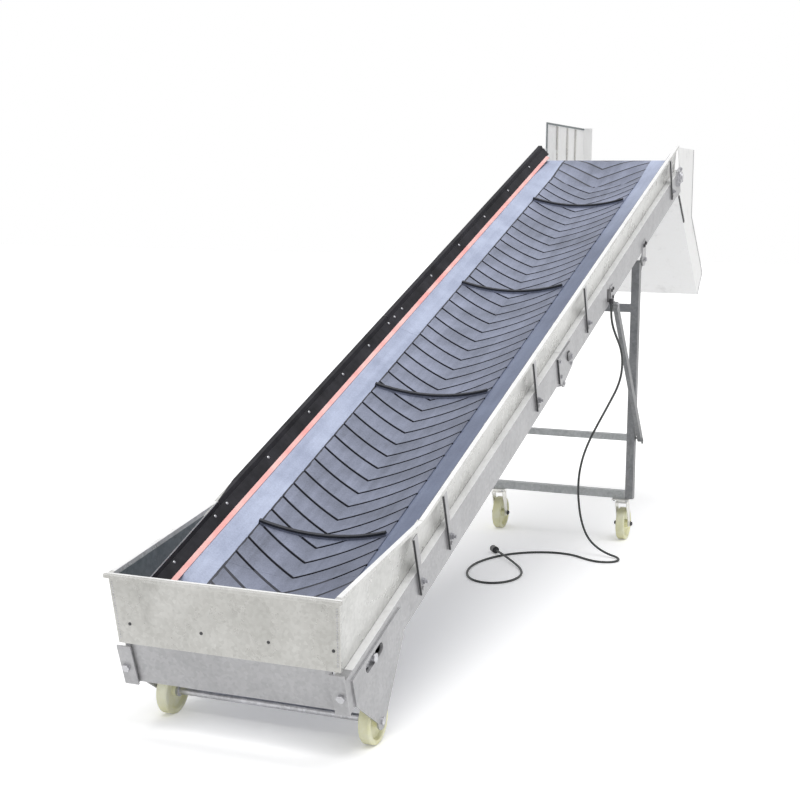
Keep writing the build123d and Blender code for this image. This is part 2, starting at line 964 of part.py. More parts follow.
def makePost(side):
    """Square tube whose top is cut in line with the rail, with a pivot ear."""
    start = side * postHalfWidth - tube / 2
    rise = tube / 2 * tan(slope)
    with BuildPart() as post:
        with BuildSketch(uprightPlane(start)):
            outline(
                (
                    (standAt - tube / 2, lowBarHeight),
                    (standAt + tube / 2, lowBarHeight),
                    (standAt + tube / 2, postTop + rise),
                    (standAt - tube / 2, postTop - rise),
                )
            )
        extrude(amount=tube)
        hollow = tube - 2 * tubeWall
        with BuildSketch(uprightPlane(start + tubeWall)):
            outline(
                (
                    (standAt - hollow / 2, lowBarHeight + tubeWall),
                    (standAt + hollow / 2, lowBarHeight + tubeWall),
                    (standAt + hollow / 2, postTop + rise - 2 * tubeWall),
                    (standAt - hollow / 2, postTop - rise - tubeWall),
                )
            )
        extrude(amount=hollow, mode=Mode.SUBTRACT)
        outer = postHalfWidth + tube / 2
        with BuildSketch(spanPlane(uprightPlane, side, outer - legEar, outer)):
            outline(
                (
                    (standAt + tube / 2, legPivotHeight - 3 * legEarRadius),
                    (legPivotSide + legEarRadius, legPivotHeight),
                    (legPivotSide - legEarRadius, legPivotHeight),
                    (standAt + tube / 2, legPivotHeight - legEarRadius),
                )
            )
            with Locations((legPivotSide, legPivotHeight)):
                Circle(legEarRadius)
                Circle(legPinRadius + runningClearance, mode=Mode.SUBTRACT)
        extrude(amount=legEar)
    return post


def makeCrossbar(height, depth):
    half = postHalfWidth - tube / 2
    with BuildPart() as bar:
        with BuildSketch(uprightPlane(-half)):
            with Locations((standAt, height + depth / 2)):
                Rectangle(tube, depth)
                Rectangle(tube - 2 * tubeWall, depth - 2 * tubeWall, mode=Mode.SUBTRACT)
        extrude(amount=2 * half)
    return bar


def makeLegBrackets():
    """Plates on the upper webs that carry the posts' pivots."""
    outer = webHalfWidth + legBracket
    pinInner = postHalfWidth + tube / 2 - legEar - pinHead
    top = legPivotHeight + legBracketHeight
    lean = legBracketHalfWidth * tan(slope)
    with BuildPart() as brackets:
        for side in (-1, 1):
            with BuildSketch(spanPlane(uprightPlane, side, webHalfWidth, outer)):
                outline(
                    (
                        (legPivotSide - legBracketHalfWidth, legPivotHeight),
                        (legPivotSide + legBracketHalfWidth, legPivotHeight),
                        (legPivotSide + legBracketHalfWidth, top + lean),
                        (legPivotSide - legBracketHalfWidth, top - lean),
                    )
                )
                with Locations((legPivotSide, legPivotHeight)):
                    Circle(legBracketHalfWidth)
            extrude(amount=legBracket)
            plane = spanPlane(uprightPlane, side, pinInner, outer + pinHead)
            with BuildSketch(plane):
                with Locations((legPivotSide, legPivotHeight)):
                    Circle(legPinRadius)
            extrude(amount=outer + pinHead - pinInner)
    return brackets


# Braces

bracePivot = along(bracePivotAt, -bracePivotDepth)


def makeBraceLugs():
    outer = webHalfWidth + braceLug
    with BuildPart() as lugs:
        for side in (-1, 1):
            with BuildSketch(spanPlane(sidePlane, side, webHalfWidth, outer)):
                outline(
                    (
                        (bracePivotAt - braceLugHalfWidth, -bracePivotDepth),
                        (bracePivotAt + braceLugHalfWidth, -bracePivotDepth),
                        (bracePivotAt + braceLugHalfWidth, -braceLugTop),
                        (bracePivotAt - braceLugHalfWidth, -braceLugTop),
                    )
                )
                with Locations((bracePivotAt, -bracePivotDepth)):
                    Circle(braceLugHalfWidth)
            extrude(amount=braceLug)
            pinOuter = braceInner + braceThickness + pinHead
            with BuildSketch(spanPlane(sidePlane, side, outer, pinOuter)):
                with Locations((bracePivotAt, -bracePivotDepth)):
                    Circle(bracePinRadius)
            extrude(amount=pinOuter - outer)
    return lugs


def makeBrace(side):
    """Flat tube from the rail to the post, with its locking pin."""
    y, z = bracePivot
    top = Vector(y - frontSide, z)
    foot = Vector(braceFootSide, braceFootHeight)
    run = (foot - top).normalized()
    half = Vector(-run.Y, run.X) * (braceWidth / 2)
    outer = braceInner + braceThickness
    with BuildPart() as brace:
        with BuildSketch(spanPlane(uprightPlane, side, braceInner, outer)):
            corners = (top + half, foot + half, foot - half, top - half)
            outline([(p.X, p.Y) for p in corners])
            with Locations((top.X, top.Y), (foot.X, foot.Y)):
                Circle(braceWidth / 2)
            with Locations((top.X, top.Y)):
                Circle(bracePinRadius + runningClearance, mode=Mode.SUBTRACT)
        extrude(amount=braceThickness)
        tip = postHalfWidth + tube / 2 + quickPinReach
        ringOuter = outer + pinHead
        with BuildSketch(spanPlane(uprightPlane, side, tip, ringOuter)):
            with Locations((foot.X, foot.Y)):
                Circle(quickPinRadius)
        extrude(amount=ringOuter - tip)
        plane = spanPlane(uprightPlane, side, outer + closeClearance, ringOuter)
        with BuildSketch(plane):
            with Locations((foot.X, foot.Y - quickPinRing)):
                Circle(quickPinRing)
                Circle(quickPinRing - quickPinWire, mode=Mode.SUBTRACT)
        extrude(amount=ringOuter - outer - closeClearance)
    return brace


# Castors

plateBottom = lowBarHeight - castorPlate
raceBottom = plateBottom - raceHeight
crownTop = raceBottom - crownGap
standSide = frontSide + standAt
castorWheelSide = standSide + castorTrail


def makeCastorPlates():
    with BuildPart() as plates:
        for side in (-1, 1):
            x = side * castorHalfTrack
            with BuildSketch(Plane(origin=(x, standSide, plateBottom))):
                Rectangle(castorPlateWidth, castorPlateLength)
            extrude(amount=castorPlate)
            with BuildSketch(Plane(origin=(x, standSide, raceBottom))):
                Circle(raceRadius)
            extrude(amount=raceHeight)
            pinBottom = crownTop - crownThickness
            with BuildSketch(Plane(origin=(x, standSide, pinBottom))):
                Circle(kingPinRadius)
            extrude(amount=raceBottom - pinBottom)
    return plates


def makeFork(side):
    """Crown and two raked legs, with the axle bolt."""
    x = side * castorHalfTrack
    local = Plane(origin=(x, standSide, 0), x_dir=(0, 1, 0), z_dir=(1, 0, 0))
    crownBottom = crownTop - crownThickness
    with BuildPart() as fork:
        with BuildSketch(Plane(origin=(x, standSide, crownBottom))):
            Rectangle(2 * forkHalfWidth, 2 * forkTopHalf)
            Circle(kingPinRadius + runningClearance, mode=Mode.SUBTRACT)
        extrude(amount=crownThickness)
        for way in (-1, 1):
            inner = way * forkHalfWidth
            outer = way * (forkHalfWidth + forkLeg)
            with BuildSketch(local.offset(min(inner, outer))):
                outline(
                    (
                        (-forkTopHalf, crownTop),
                        (forkTopHalf, crownTop),
                        (castorTrail + forkEye, castorRadius),
                        (castorTrail - forkEye, castorRadius),
                    )
                )
                with Locations((castorTrail, castorRadius)):
                    Circle(forkEye)
            extrude(amount=forkLeg)
        end = forkHalfWidth + forkLeg
        with BuildSketch(local.offset(-end)):
            with Locations((castorTrail, castorRadius)):
                Circle(castorAxleRadius)
        extrude(amount=2 * end)
        for start in (-end - axleNut, end):
            with BuildSketch(local.offset(start)):
                with Locations((castorTrail, castorRadius)):
                    RegularPolygon(axleNutRadius, 6)
            extrude(amount=axleNut)
    return fork


# Head

def makeBearings():
    """Flanged bearings of the head drum on the upper webs."""
    with BuildPart() as bearings:
        for side in (-1, 1):
            faces = (
                (webHalfWidth, bearingThickness, None),
                (webHalfWidth + bearingThickness, bearingBoss - bearingThickness, 1),
            )
            for start, depth, boss in faces:
                with BuildSketch(spanPlane(sidePlane, side, start, start + depth)):
                    with Locations((headDrumAt, -headDrumDepth)):
                        if boss:
                            Circle(bearingBossRadius)
                        else:
                            RectangleRounded(
                                2 * bearingHalf, 2 * bearingHalf, bearingThickness
                            )
                        Circle(headShaftRadius + runningClearance, mode=Mode.SUBTRACT)
                extrude(amount=depth)
    return bearings


def chutePoints():
    """Corners of a chute wall, and the slide's two ends."""
    startY, startZ = along(chuteStartAt, -chuteStartDepth)
    start = Vector(startY - frontSide, startZ)
    end = Vector(chuteEndSide, chuteEndHeight)
    run = (end - start).normalized()
    rise = Vector(-run.Y, run.X) * chuteWallDepth
    return start, end, run, rise


def makeChute():
    start, end, run, rise = chutePoints()
    far = end + rise
    knee = far + run * ((wallEndSide - far.X) / run.X)
    gapped = railLength + foldGap
    lowCorner = along(gapped, -chuteStartDepth)
    topShare = (wallTopHeight - along(gapped, 0)[1]) / cos(slope)
    highCorner = along(gapped, topShare)
    wall = (
        (start.X, start.Y),
        (end.X, end.Y),
        (far.X, far.Y),
        (knee.X, knee.Y),
        (wallEndSide, wallTopHeight),
        (highCorner[0] - frontSide, highCorner[1]),
        (lowCorner[0] - frontSide, lowCorner[1]),
    )
    thin = Vector(-run.Y, run.X) * sheet
    slide = (start, end, end + thin, start + thin)
    with BuildPart() as chute:
        for side in (-1, 1):
            inner = webHalfWidth - sheet
            with BuildSketch(spanPlane(uprightPlane, side, inner, webHalfWidth)):
                outline(wall)
            extrude(amount=sheet)
        with BuildSketch(uprightPlane(-webHalfWidth + sheet)):
            outline([(p.X, p.Y) for p in slide])
        extrude(amount=2 * (webHalfWidth - sheet))
    return chute


def makeGuard():
    """Tall guard on the left of the head, with a flange along its far edge."""
    outer = webHalfWidth + sheet
    with BuildPart() as guard:
        with BuildSketch(uprightPlane(-outer)):
            outline(
                (
                    (guardStartSide, guardTopHeight),
                    (guardEndSide, guardTopHeight),
                    (guardEndSide, guardEndFoot),
                    (guardKneeSide, guardFootHeight),
                    (guardStartSide, guardFootHeight),
                )
            )
        extrude(amount=sheet)
        with BuildSketch(uprightPlane(-webHalfWidth)):
            outline(
                (
                    (guardEndSide - sheet, guardEndFoot),
                    (guardEndSide, guardEndFoot),
                    (guardEndSide, guardTopHeight),
                    (guardEndSide - sheet, guardTopHeight),
                )
            )
        extrude(amount=guardFlange)
    return guard


# Cable

cablePoints = [Vector(x, frontSide + y, z) for x, y, z in cableRoute]
cableRuns = [b - a for a, b in zip(cablePoints, cablePoints[1:])]


def makeCable():
    """Tube along the route's runs, each corner rounded as widely as they allow."""
    radii = []
    for before, after in zip(cableRuns, cableRuns[1:]):
        turn = radians(before.get_angle(after))
        shorter = min(before.length, after.length)
        radii.append(cableArcShare * shorter / tan(turn / 2))
    with BuildPart() as cable:
        with BuildLine() as path:
            FilletPolyline(*cablePoints, radius=radii)
        with BuildSketch(Plane(origin=cablePoints[0], z_dir=cableRuns[0])):
            Circle(cableRadius)
        sweep(path=path.wire())
    length = path.wire().length
    print("cable radii", [round(radius) for radius in radii])
    print("cable length", round(length))
    print("cable volume share", cable.part.volume / (pi * cableRadius**2 * length))
    return cable


def makeGland():
    """Angle bracket on the web with the gland that the cable leaves."""
    x, y, z = cableRoute[0]
    plateTop = z + glandLength / 2
    rise = plateTop + glandPlateRise
    reach = x + glandPlateHalf
    with BuildPart() as gland:
        with BuildSketch(uprightPlane(webHalfWidth)):
            with Locations((y, (plateTop + rise) / 2 - glandPlate / 2)):
                Rectangle(2 * glandPlateHalf, rise - plateTop + glandPlate)
        extrude(amount=glandPlate)
        with BuildSketch(uprightPlane(webHalfWidth)):
            with Locations((y, plateTop - glandPlate / 2)):
                Rectangle(2 * glandPlateHalf, glandPlate)
        extrude(amount=reach - webHalfWidth)
        with BuildSketch(Plane(origin=(x, frontSide + y, z))):
            Circle(glandRadius)
        extrude(amount=glandLength)
    return gland


def makePlug():
    with BuildPart() as plug:
        end = Plane(origin=cablePoints[-1], z_dir=cableRuns[-1])
        with BuildSketch(end):
            Circle(plugNeckRadius)
        extrude(amount=plugNeckLength)
        with BuildSketch(end.offset(plugNeckLength)):
            Circle(plugRadius)
        extrude(amount=plugLength)
    return plug


# Lower section
for name, side in (("left", -1), ("right", 1)):
    keep(makeRail(side, -railLead, foldAt - foldGap), f"lower_rail_{name}")
    keep(makeHopperSheet(side), f"lower_skirt_{name}")
keep(makeHopperFront(), "hopper_front")
keep(makeTailCross(), "tail_cross_plate")
keep(makeStraps(lowerStrapShares), "lower_straps")
keep(makeBelt(tailDrumAt, tailDrumDepth, foldAt - foldGap, 1), "lower_belt")
tailShaftHalf = webHalfWidth + bracketPlate + shaftEnd
keep(
    makeDrum(tailDrumAt, tailDrumDepth, tailDrumRadius, tailShaftRadius, tailShaftHalf),
    "tail_drum",
)
keep(makeTakeUps(), "take_ups")
keep(
    makeSupports(0, foldAt, lowerStationShares, slideStart, foldAt - foldGap),
    "lower_belt_supports",
)
keep(makeSeals(-railLead, foldAt - foldGap), "lower_seals")
keep(makeFoldLugs(), "fold_lugs")
keep(makeWheelBrackets(), "wheel_brackets")
keep(makeLowAxle(), "low_axle")
lowWheelHalf = lowWheelWidth / 2
lowWheelMiddle = webHalfWidth - lowWheelGap - lowWheelHalf
for name, side in (("left", -1), ("right", 1)):
    wheel = makeWheel(
        side * lowWheelMiddle,
        frontSide + lowAxleAt,
        lowWheelRadius,
        lowWheelWidth,
        lowWheelHalf,
        lowAxleRadius + runningClearance,
    )
    keep(wheel, f"low_wheel_{name}")

# Upper section
for name, side in (("left", -1), ("right", 1)):
    keep(makeRail(side, foldAt + foldGap, railLength), f"upper_rail_{name}")
    keep(makeSheet(side, foldAt + foldGap, railLength), f"upper_skirt_{name}")
keep(makeStraps(upperStrapShares), "upper_straps")
keep(makeBelt(headDrumAt, headDrumDepth, foldAt + foldGap, -1), "upper_belt")
headShaftHalf = webHalfWidth + shaftStub
keep(
    makeDrum(headDrumAt, headDrumDepth, headDrumRadius, headShaftRadius, headShaftHalf),
    "head_drum",
)
keep(
    makeSupports(foldAt, railLength, upperStationShares, foldAt + foldGap, slideEnd),
    "upper_belt_supports",
)
keep(makeSeals(foldAt + foldGap, railLength), "upper_seals")
keep(makeFoldPlates(), "fold_plates")
keep(makeLegBrackets(), "leg_brackets")
keep(makeBraceLugs(), "brace_lugs")
keep(makeBearings(), "head_bearings")
keep(makeChute(), "chute")
keep(makeGuard(), "head_guard")
keep(makeGland(), "cable_gland")
keep(makeCable(), "cable")
keep(makePlug(), "cable_plug")

# Stand, braces and castors
for name, side in (("left", -1), ("right", 1)):
    keep(makePost(side), f"post_{name}")
    keep(makeBrace(side), f"brace_{name}")
    keep(makeFork(side), f"castor_fork_{name}")
    wheel = makeWheel(
        side * castorHalfTrack,
        castorWheelSide,
        castorRadius,
        castorWidth,
        castorHubHalf,
        castorAxleRadius + runningClearance,
    )
    keep(wheel, f"castor_wheel_{name}")
keep(makeCrossbar(lowBarHeight, tube), "low_crossbar")
keep(makeCrossbar(midBarHeight, midBarDepth), "mid_crossbar")
keep(makeCrossbar(highBarHeight, tube), "high_crossbar")
keep(makeCastorPlates(), "castor_plates")
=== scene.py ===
import json
from math import cos, radians, sin

import bpy
import numpy as np
from mathutils import Matrix, Vector


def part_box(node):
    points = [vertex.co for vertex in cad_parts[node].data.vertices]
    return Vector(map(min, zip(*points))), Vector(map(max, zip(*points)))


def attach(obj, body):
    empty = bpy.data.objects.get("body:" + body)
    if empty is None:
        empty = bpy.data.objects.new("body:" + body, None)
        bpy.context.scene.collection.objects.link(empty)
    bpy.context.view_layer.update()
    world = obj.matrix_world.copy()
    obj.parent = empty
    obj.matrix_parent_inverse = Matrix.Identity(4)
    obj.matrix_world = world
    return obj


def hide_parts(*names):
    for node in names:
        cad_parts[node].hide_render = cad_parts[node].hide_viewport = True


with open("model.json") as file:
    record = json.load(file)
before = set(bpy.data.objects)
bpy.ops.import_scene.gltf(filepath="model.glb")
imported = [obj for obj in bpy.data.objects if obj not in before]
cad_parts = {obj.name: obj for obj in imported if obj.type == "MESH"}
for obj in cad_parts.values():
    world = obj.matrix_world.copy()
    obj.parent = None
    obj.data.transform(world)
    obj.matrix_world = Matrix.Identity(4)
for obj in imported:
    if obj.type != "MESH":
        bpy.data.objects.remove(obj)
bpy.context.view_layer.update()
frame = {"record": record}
print("stage: frame loaded")

# The conveyor's own gauge, in metres: s runs up the incline from the hopper's
# front face, n stands out of the plane of the side hems.
gauge = {
    "slope": radians(20.37),
    "frontSide": -2.600262,  # y where s and n are nought
    "hemHeight": 0.433,  # z of that place
    "foldAt": 2.290,
    "foldGap": 0.0005,
    "hopperLength": 0.670,
    "hopperRise": 0.131,  # n of the hopper's rim at its front
    "troughRadius": 0.787939,
    "troughDepth": 0.132,
}
slopeCos = cos(gauge["slope"])
slopeSin = sin(gauge["slope"])
alongIncline = np.array([0, slopeCos, slopeSin])
offIncline = np.array([0, -slopeSin, slopeCos])
widthWay = np.array([1.0, 0, 0])
bothSides = ((-1, "left"), (1, "right"))


# Points from arrays of width, way up the incline and height off the hems:
# y = front + s cos - n sin, z = hem height + s sin + n cos
def onConveyor(x, s, n):
    x, s, n = np.broadcast_arrays(*(np.asarray(v, float) for v in (x, s, n)))
    y = gauge["frontSide"] + s * slopeCos - n * slopeSin
    z = gauge["hemHeight"] + s * slopeSin + n * slopeCos
    return np.stack([x, y, z], axis=-1)


# Height of the belt's round trough off the hems: radius - depth - sqrt(radius^2 - x^2)
def troughHeight(x):
    radius = gauge["troughRadius"]
    return radius - gauge["troughDepth"] - np.sqrt(radius**2 - x**2)


# Camera, at the photograph's viewing angle
cameraSet = {
    "place": (2.258, gauge["frontSide"] - 4.075, 1.725),
    "yaw": radians(22.49),
    "pitch": radians(7.33),
    "roll": 0.0111,
    "lens": 69.14,
    "sensor": 36.0,
}


def setCamera():
    yaw, pitch, roll = cameraSet["yaw"], cameraSet["pitch"], cameraSet["roll"]
    level = Vector((-sin(yaw), cos(yaw), 0))
    across = Vector((cos(yaw), sin(yaw), 0))
    up = Vector((0, 0, 1))
    ahead = level * cos(pitch) - up * sin(pitch)
    over = level * sin(pitch) + up * cos(pitch)
    right = across * cos(roll) + over * sin(roll)
    top = -across * sin(roll) + over * cos(roll)
    turn = Matrix((right, top, -ahead)).transposed().to_4x4()
    data = bpy.data.cameras.new("photoCamera")
    data.sensor_width = cameraSet["sensor"]
    data.lens = cameraSet["lens"]
    camera = bpy.data.objects.new("photoCamera", data)
    camera.matrix_world = Matrix.Translation(cameraSet["place"]) @ turn
    bpy.context.scene.collection.objects.link(camera)
    bpy.context.scene.camera = camera


setCamera()
bpy.context.scene.view_settings.view_transform = "Standard"
print("stage: camera")


# Materials: a few short words for the nodes that they are made of
def newMaterial(name):
    material = bpy.data.materials.new(name)
    material.use_nodes = True
    tree = material.node_tree
    shader = tree.nodes["Principled BSDF"]
    return material, tree, shader


def addNode(tree, kind, **values):
    node = tree.nodes.new(kind)
    for key, value in values.items():
        if key in node.inputs:
            node.inputs[key].default_value = value
        else:
            setattr(node, key, value)
    return node


def objectPlace(tree, scale=(1, 1, 1), turn=(0, 0, 0)):
    place = addNode(tree, "ShaderNodeTexCoord")
    mapping = addNode(tree, "ShaderNodeMapping")
    mapping.inputs["Scale"].default_value = scale
    mapping.inputs["Rotation"].default_value = turn
    tree.links.new(place.outputs["Object"], mapping.inputs["Vector"])
    return mapping.outputs["Vector"]


def noiseOn(tree, place, scale, detail, roughness):
    noise = addNode(tree, "ShaderNodeTexNoise", Scale=scale, Detail=detail, Roughness=roughness)
    tree.links.new(place, noise.inputs["Vector"])
    return noise.outputs["Fac"]


# A ramp between two stops, each a position and a colour
def rampOn(tree, factor, stops):
    ramp = addNode(tree, "ShaderNodeValToRGB")
    for element, (position, colour) in zip(ramp.color_ramp.elements, stops):
        element.position = position
        element.color = (*colour, 1)
    tree.links.new(factor, ramp.inputs["Fac"])
    return ramp.outputs["Color"]


def greyRamp(tree, factor, low, high, dark=0.0, light=1.0):
    return rampOn(tree, factor, ((low, (dark,) * 3), (high, (light,) * 3)))


# Two colours mixed; sockets 6 and 7 are the Mix node's colours
def mixColours(tree, factor, first, second, blend="MIX"):
    mix = addNode(tree, "ShaderNodeMix", data_type="RGBA", blend_type=blend)
    for value, socket in ((factor, mix.inputs[0]), (first, mix.inputs[6]), (second, mix.inputs[7])):
        if isinstance(value, (float, int)):
            socket.default_value = value
        elif isinstance(value, tuple):
            socket.default_value = (*value, 1)
        else:
            tree.links.new(value, socket)
    return mix.outputs[2]


def mathOn(tree, operation, first, second=0.0, third=0.0):
    node = addNode(tree, "ShaderNodeMath", operation=operation)
    for value, socket in zip((first, second, third), node.inputs):
        if isinstance(value, (float, int)):
            socket.default_value = value
        else:
            tree.links.new(value, socket)
    return node.outputs[0]


# Patterns added up, each times its share
def sumOf(tree, *parts):
    total = 0.0
    for pattern, share in parts:
        total = mathOn(tree, "MULTIPLY_ADD", pattern, share, total)
    return total


def bumpOn(tree, shader, height, strength, distance):
    bump = addNode(tree, "ShaderNodeBump", Strength=strength, Distance=distance)
    tree.links.new(height, bump.inputs["Height"])
    tree.links.new(bump.outputs["Normal"], shader.inputs["Normal"])


# Worn edges: where a rounded normal leaves the true one
def edgeWear(tree, radius, low, high):
    bevel = addNode(tree, "ShaderNodeBevel", Radius=radius, samples=4)
    geometry = addNode(tree, "ShaderNodeNewGeometry")
    dot = addNode(tree, "ShaderNodeVectorMath", operation="DOT_PRODUCT")
    tree.links.new(bevel.outputs["Normal"], dot.inputs[0])
    tree.links.new(geometry.outputs["Normal"], dot.inputs[1])
    edge = mathOn(tree, "SUBTRACT", 1.0, dot.outputs["Value"])
    return greyRamp(tree, edge, low, high)


# Steel in several finishes: base tone, cloudy zinc, fine brushing, stains, worn edges
steelSet = {
    "railSteel": {
        "dark": (0.37, 0.37, 0.38), "light": (0.52, 0.52, 0.53), "metal": 0.35, "rough": 0.36,
    },
    "sheetSteel": {
        "dark": (0.44, 0.435, 0.41), "light": (0.62, 0.615, 0.59), "metal": 0.4, "rough": 0.25,
    },
    "sideSteel": {
        "dark": (0.54, 0.54, 0.52), "light": (0.75, 0.75, 0.73), "metal": 0.35, "rough": 0.25,
    },
    # Pale caps painted as highlights on upward faces
    "paintedHighlightSteel": {
        "dark": (0.86, 0.86, 0.86), "light": (0.97, 0.97, 0.97), "metal": 0.1, "rough": 0.30,
    },
    "chuteSteel": {
        "dark": (0.928, 0.928, 0.916), "light": (0.96, 0.96, 0.96), "metal": 0.05, "rough": 0.40,
    },
    "barSteel": {
        "dark": (0.345, 0.359, 0.359), "light": (0.552, 0.566, 0.566), "metal": 0.35, "rough": 0.42,
    },
    "linerSteel": {
        "dark": (0.103, 0.124, 0.131), "light": (0.207, 0.235, 0.241), "metal": 0.4, "rough": 0.45,
    },
    # Dark fasteners, and dark bars painted as shade on the shaded faces of straps and plates
    "darkSteelAndShade": {
        "dark": (0.035, 0.035, 0.038), "light": (0.10, 0.10, 0.105), "metal": 0.4, "rough": 0.5,
    },
    "standSteel": {
        "dark": (0.185, 0.19, 0.195), "light": (0.31, 0.315, 0.32), "metal": 0.45, "rough": 0.45,
    },
    "zincSteel": {
        "dark": (0.58, 0.58, 0.552), "light": (0.911, 0.897, 0.842), "metal": 0.8, "rough": 0.33,
    },
    "drumSteel": {
        "dark": (0.414, 0.414, 0.428), "light": (0.69, 0.69, 0.718), "metal": 0.9, "rough": 0.36,
    },
    "boltSteel": {
        "dark": (0.276, 0.276, 0.29), "light": (0.552, 0.552, 0.58), "metal": 0.9, "rough": 0.4,
    },
}


# What all the steels share: scales and stretches of their patterns, where a pattern
# sets in and is full, and how much of it shows
zincSet = {
    "clouds": {"scale": 5.0, "detail": 5.0, "roughness": 0.6},
    "spangle": 90.0,
    "shares": {"clouds": 0.75, "spangle": 0.25},
    "tones": (0.28, 0.72),
    "brushStretch": (420, 9, 420),
    "brushing": {"scale": 1.0, "detail": 3.0, "roughness": 0.5},
    "stainStretch": (3, 3, 1.2),
    "stains": {"scale": 4.0, "detail": 6.0, "roughness": 0.65},
    "stained": {"low": 0.56, "high": 0.74},
    "stainShare": 0.35,
    "stainTone": 0.55,
    "wear": {"radius": 0.003, "low": 0.02, "high": 0.2},
    "wearShare": 0.5,
    "wearTone": 1.25,
    "roughSpread": 0.14,
    "roughStart": -0.04,
    "heights": {"brushed": 0.25, "clouds": 8.0},
    "bump": {"strength": 0.05, "distance": 0.001},
}


def makeSteel(name):
    tone = steelSet[name]
    material, tree, shader = newMaterial(name)
    place = objectPlace(tree)
    clouds = noiseOn(tree, place, **zincSet["clouds"])
    spangle = addNode(tree, "ShaderNodeTexVoronoi", Scale=zincSet["spangle"])
    tree.links.new(place, spangle.inputs["Vector"])
    shares = zincSet["shares"]
    zinc = sumOf(tree, (spangle.outputs["Color"], shares["spangle"]), (clouds, shares["clouds"]))
    dark, light = zincSet["tones"]
    colour = rampOn(tree, zinc, ((dark, tone["dark"]), (light, tone["light"])))
    stains = noiseOn(tree, objectPlace(tree, zincSet["stainStretch"]), **zincSet["stains"])
    stains = greyRamp(tree, stains, **zincSet["stained"])
    stained = mathOn(tree, "MULTIPLY", stains, zincSet["stainShare"])
    colour = mixColours(tree, stained, colour, tuple(zincSet["stainTone"] * c for c in tone["dark"]))
    worn = mathOn(tree, "MULTIPLY", edgeWear(tree, **zincSet["wear"]), zincSet["wearShare"])
    bright = tuple(min(1.0, zincSet["wearTone"] * c) for c in tone["light"])
    colour = mixColours(tree, worn, colour, bright)
    tree.links.new(colour, shader.inputs["Base Color"])
    shader.inputs["Metallic"].default_value = tone["metal"]
    least = tone["rough"] + zincSet["roughStart"]
    rough = mathOn(tree, "MULTIPLY_ADD", clouds, zincSet["roughSpread"], least)
    tree.links.new(rough, shader.inputs["Roughness"])
    grain = objectPlace(tree, zincSet["brushStretch"], (-gauge["slope"], 0, 0))
    brushed = noiseOn(tree, grain, **zincSet["brushing"])
    heights = zincSet["heights"]
    dents = sumOf(tree, (clouds, heights["clouds"]), (brushed, heights["brushed"]))
    bumpOn(tree, shader, dents, **zincSet["bump"])
    return material


# Belt: its chevron pattern, its cleats and its tones
beltSet = {
    "first": 0.0556,
    "pitch": 0.0946,
    "thick": 0.008,
    "rise": 0.163,
    "groove": 0.0125,
    "patternHalf": 0.2485,
    "patternSlack": 0.0003,
    "edgeInset": 0.009,
    "edgeHalf": 0.0045,
    "edgeWander": 0.010,
    "edgeShare": 0.95,
    "cleats": (0.6882, 1.78095, 2.85975, 3.999),
    "cleatMiddle": 0.006,
    "cleatReach": 0.009,
    "cleatFoot": 0.0125,
    "dark": (0.128, 0.145, 0.200),
    "light": (0.390, 0.425, 0.570),
    "marginDark": (0.335, 0.378, 0.520),
    "marginLight": (0.530, 0.588, 0.760),
    # Slate that the right margin is multiplied by, as painted shade
    "shadeSlate": (0.36, 0.38, 0.42),
    # Near black painted shade in the grooves and along the pattern's edge
    "line": (0.008, 0.010, 0.020),
    # Painted shade on the cleats' upper part
    "cleat": (0.014, 0.016, 0.024),
}

# Wear and painted shade of the belt: noises of dust, fine grain and streaks along the run, painted
# shade across each rib, painted shade that lightens slowly up the belt and painted shade on its lower
# right
beltWearAndShade = {
    "wander": {"scale": 22.0, "detail": 2.0, "roughness": 0.5},
    "dust": {"scale": 6.0, "detail": 6.0, "roughness": 0.62},
    "fine": {"scale": 190.0, "detail": 3.0, "roughness": 0.65},
    "streakStretch": (30, 1.4, 1.4),
    "streaks": {"scale": 1.0, "detail": 4.0, "roughness": 0.6},
    "shares": {"dust": 0.45, "streaks": 0.25, "fine": 0.3},
    "topTones": (0.34, 0.66),
    "marginTones": (0.4, 0.6),
    "ribShade": {"low": 0.0, "high": 0.9, "dark": 1.0, "light": 0.78},
    # Painted shade towards the belt's low end
    "lowEndPerMetre": 0.4,
    "lowEnd": {"low": 0.1, "high": 0.96, "dark": 0.80, "light": 1.0},
    # Painted shade on the belt's lower right
    "shadeAcross": (3.0, 0.15),  # factor of x, and what is added to it
    "shadeAlong": (-0.8, 3.6),  # the same for s
    "shadeShare": 0.45,
    "shadeTone": 0.75,
    "roughSpread": 0.3,
    "roughStart": 0.40,
    "heights": {"fine": 1.0, "streaks": 1.5, "groove": -6.0},
    "bump": {"strength": 0.3, "distance": 0.0008},
}


# From a point's y and z, counted from the front: along = y cos + z sin is its way up the
# incline and above = z cos - y sin its height off the hems
def inclineOn(tree, y, z):
    forward = mathOn(tree, "SUBTRACT", y, gauge["frontSide"])
    upward = mathOn(tree, "SUBTRACT", z, gauge["hemHeight"])
    along = sumOf(tree, (forward, slopeCos), (upward, slopeSin))
    above = sumOf(tree, (upward, slopeCos), (forward, -slopeSin))
    return along, above


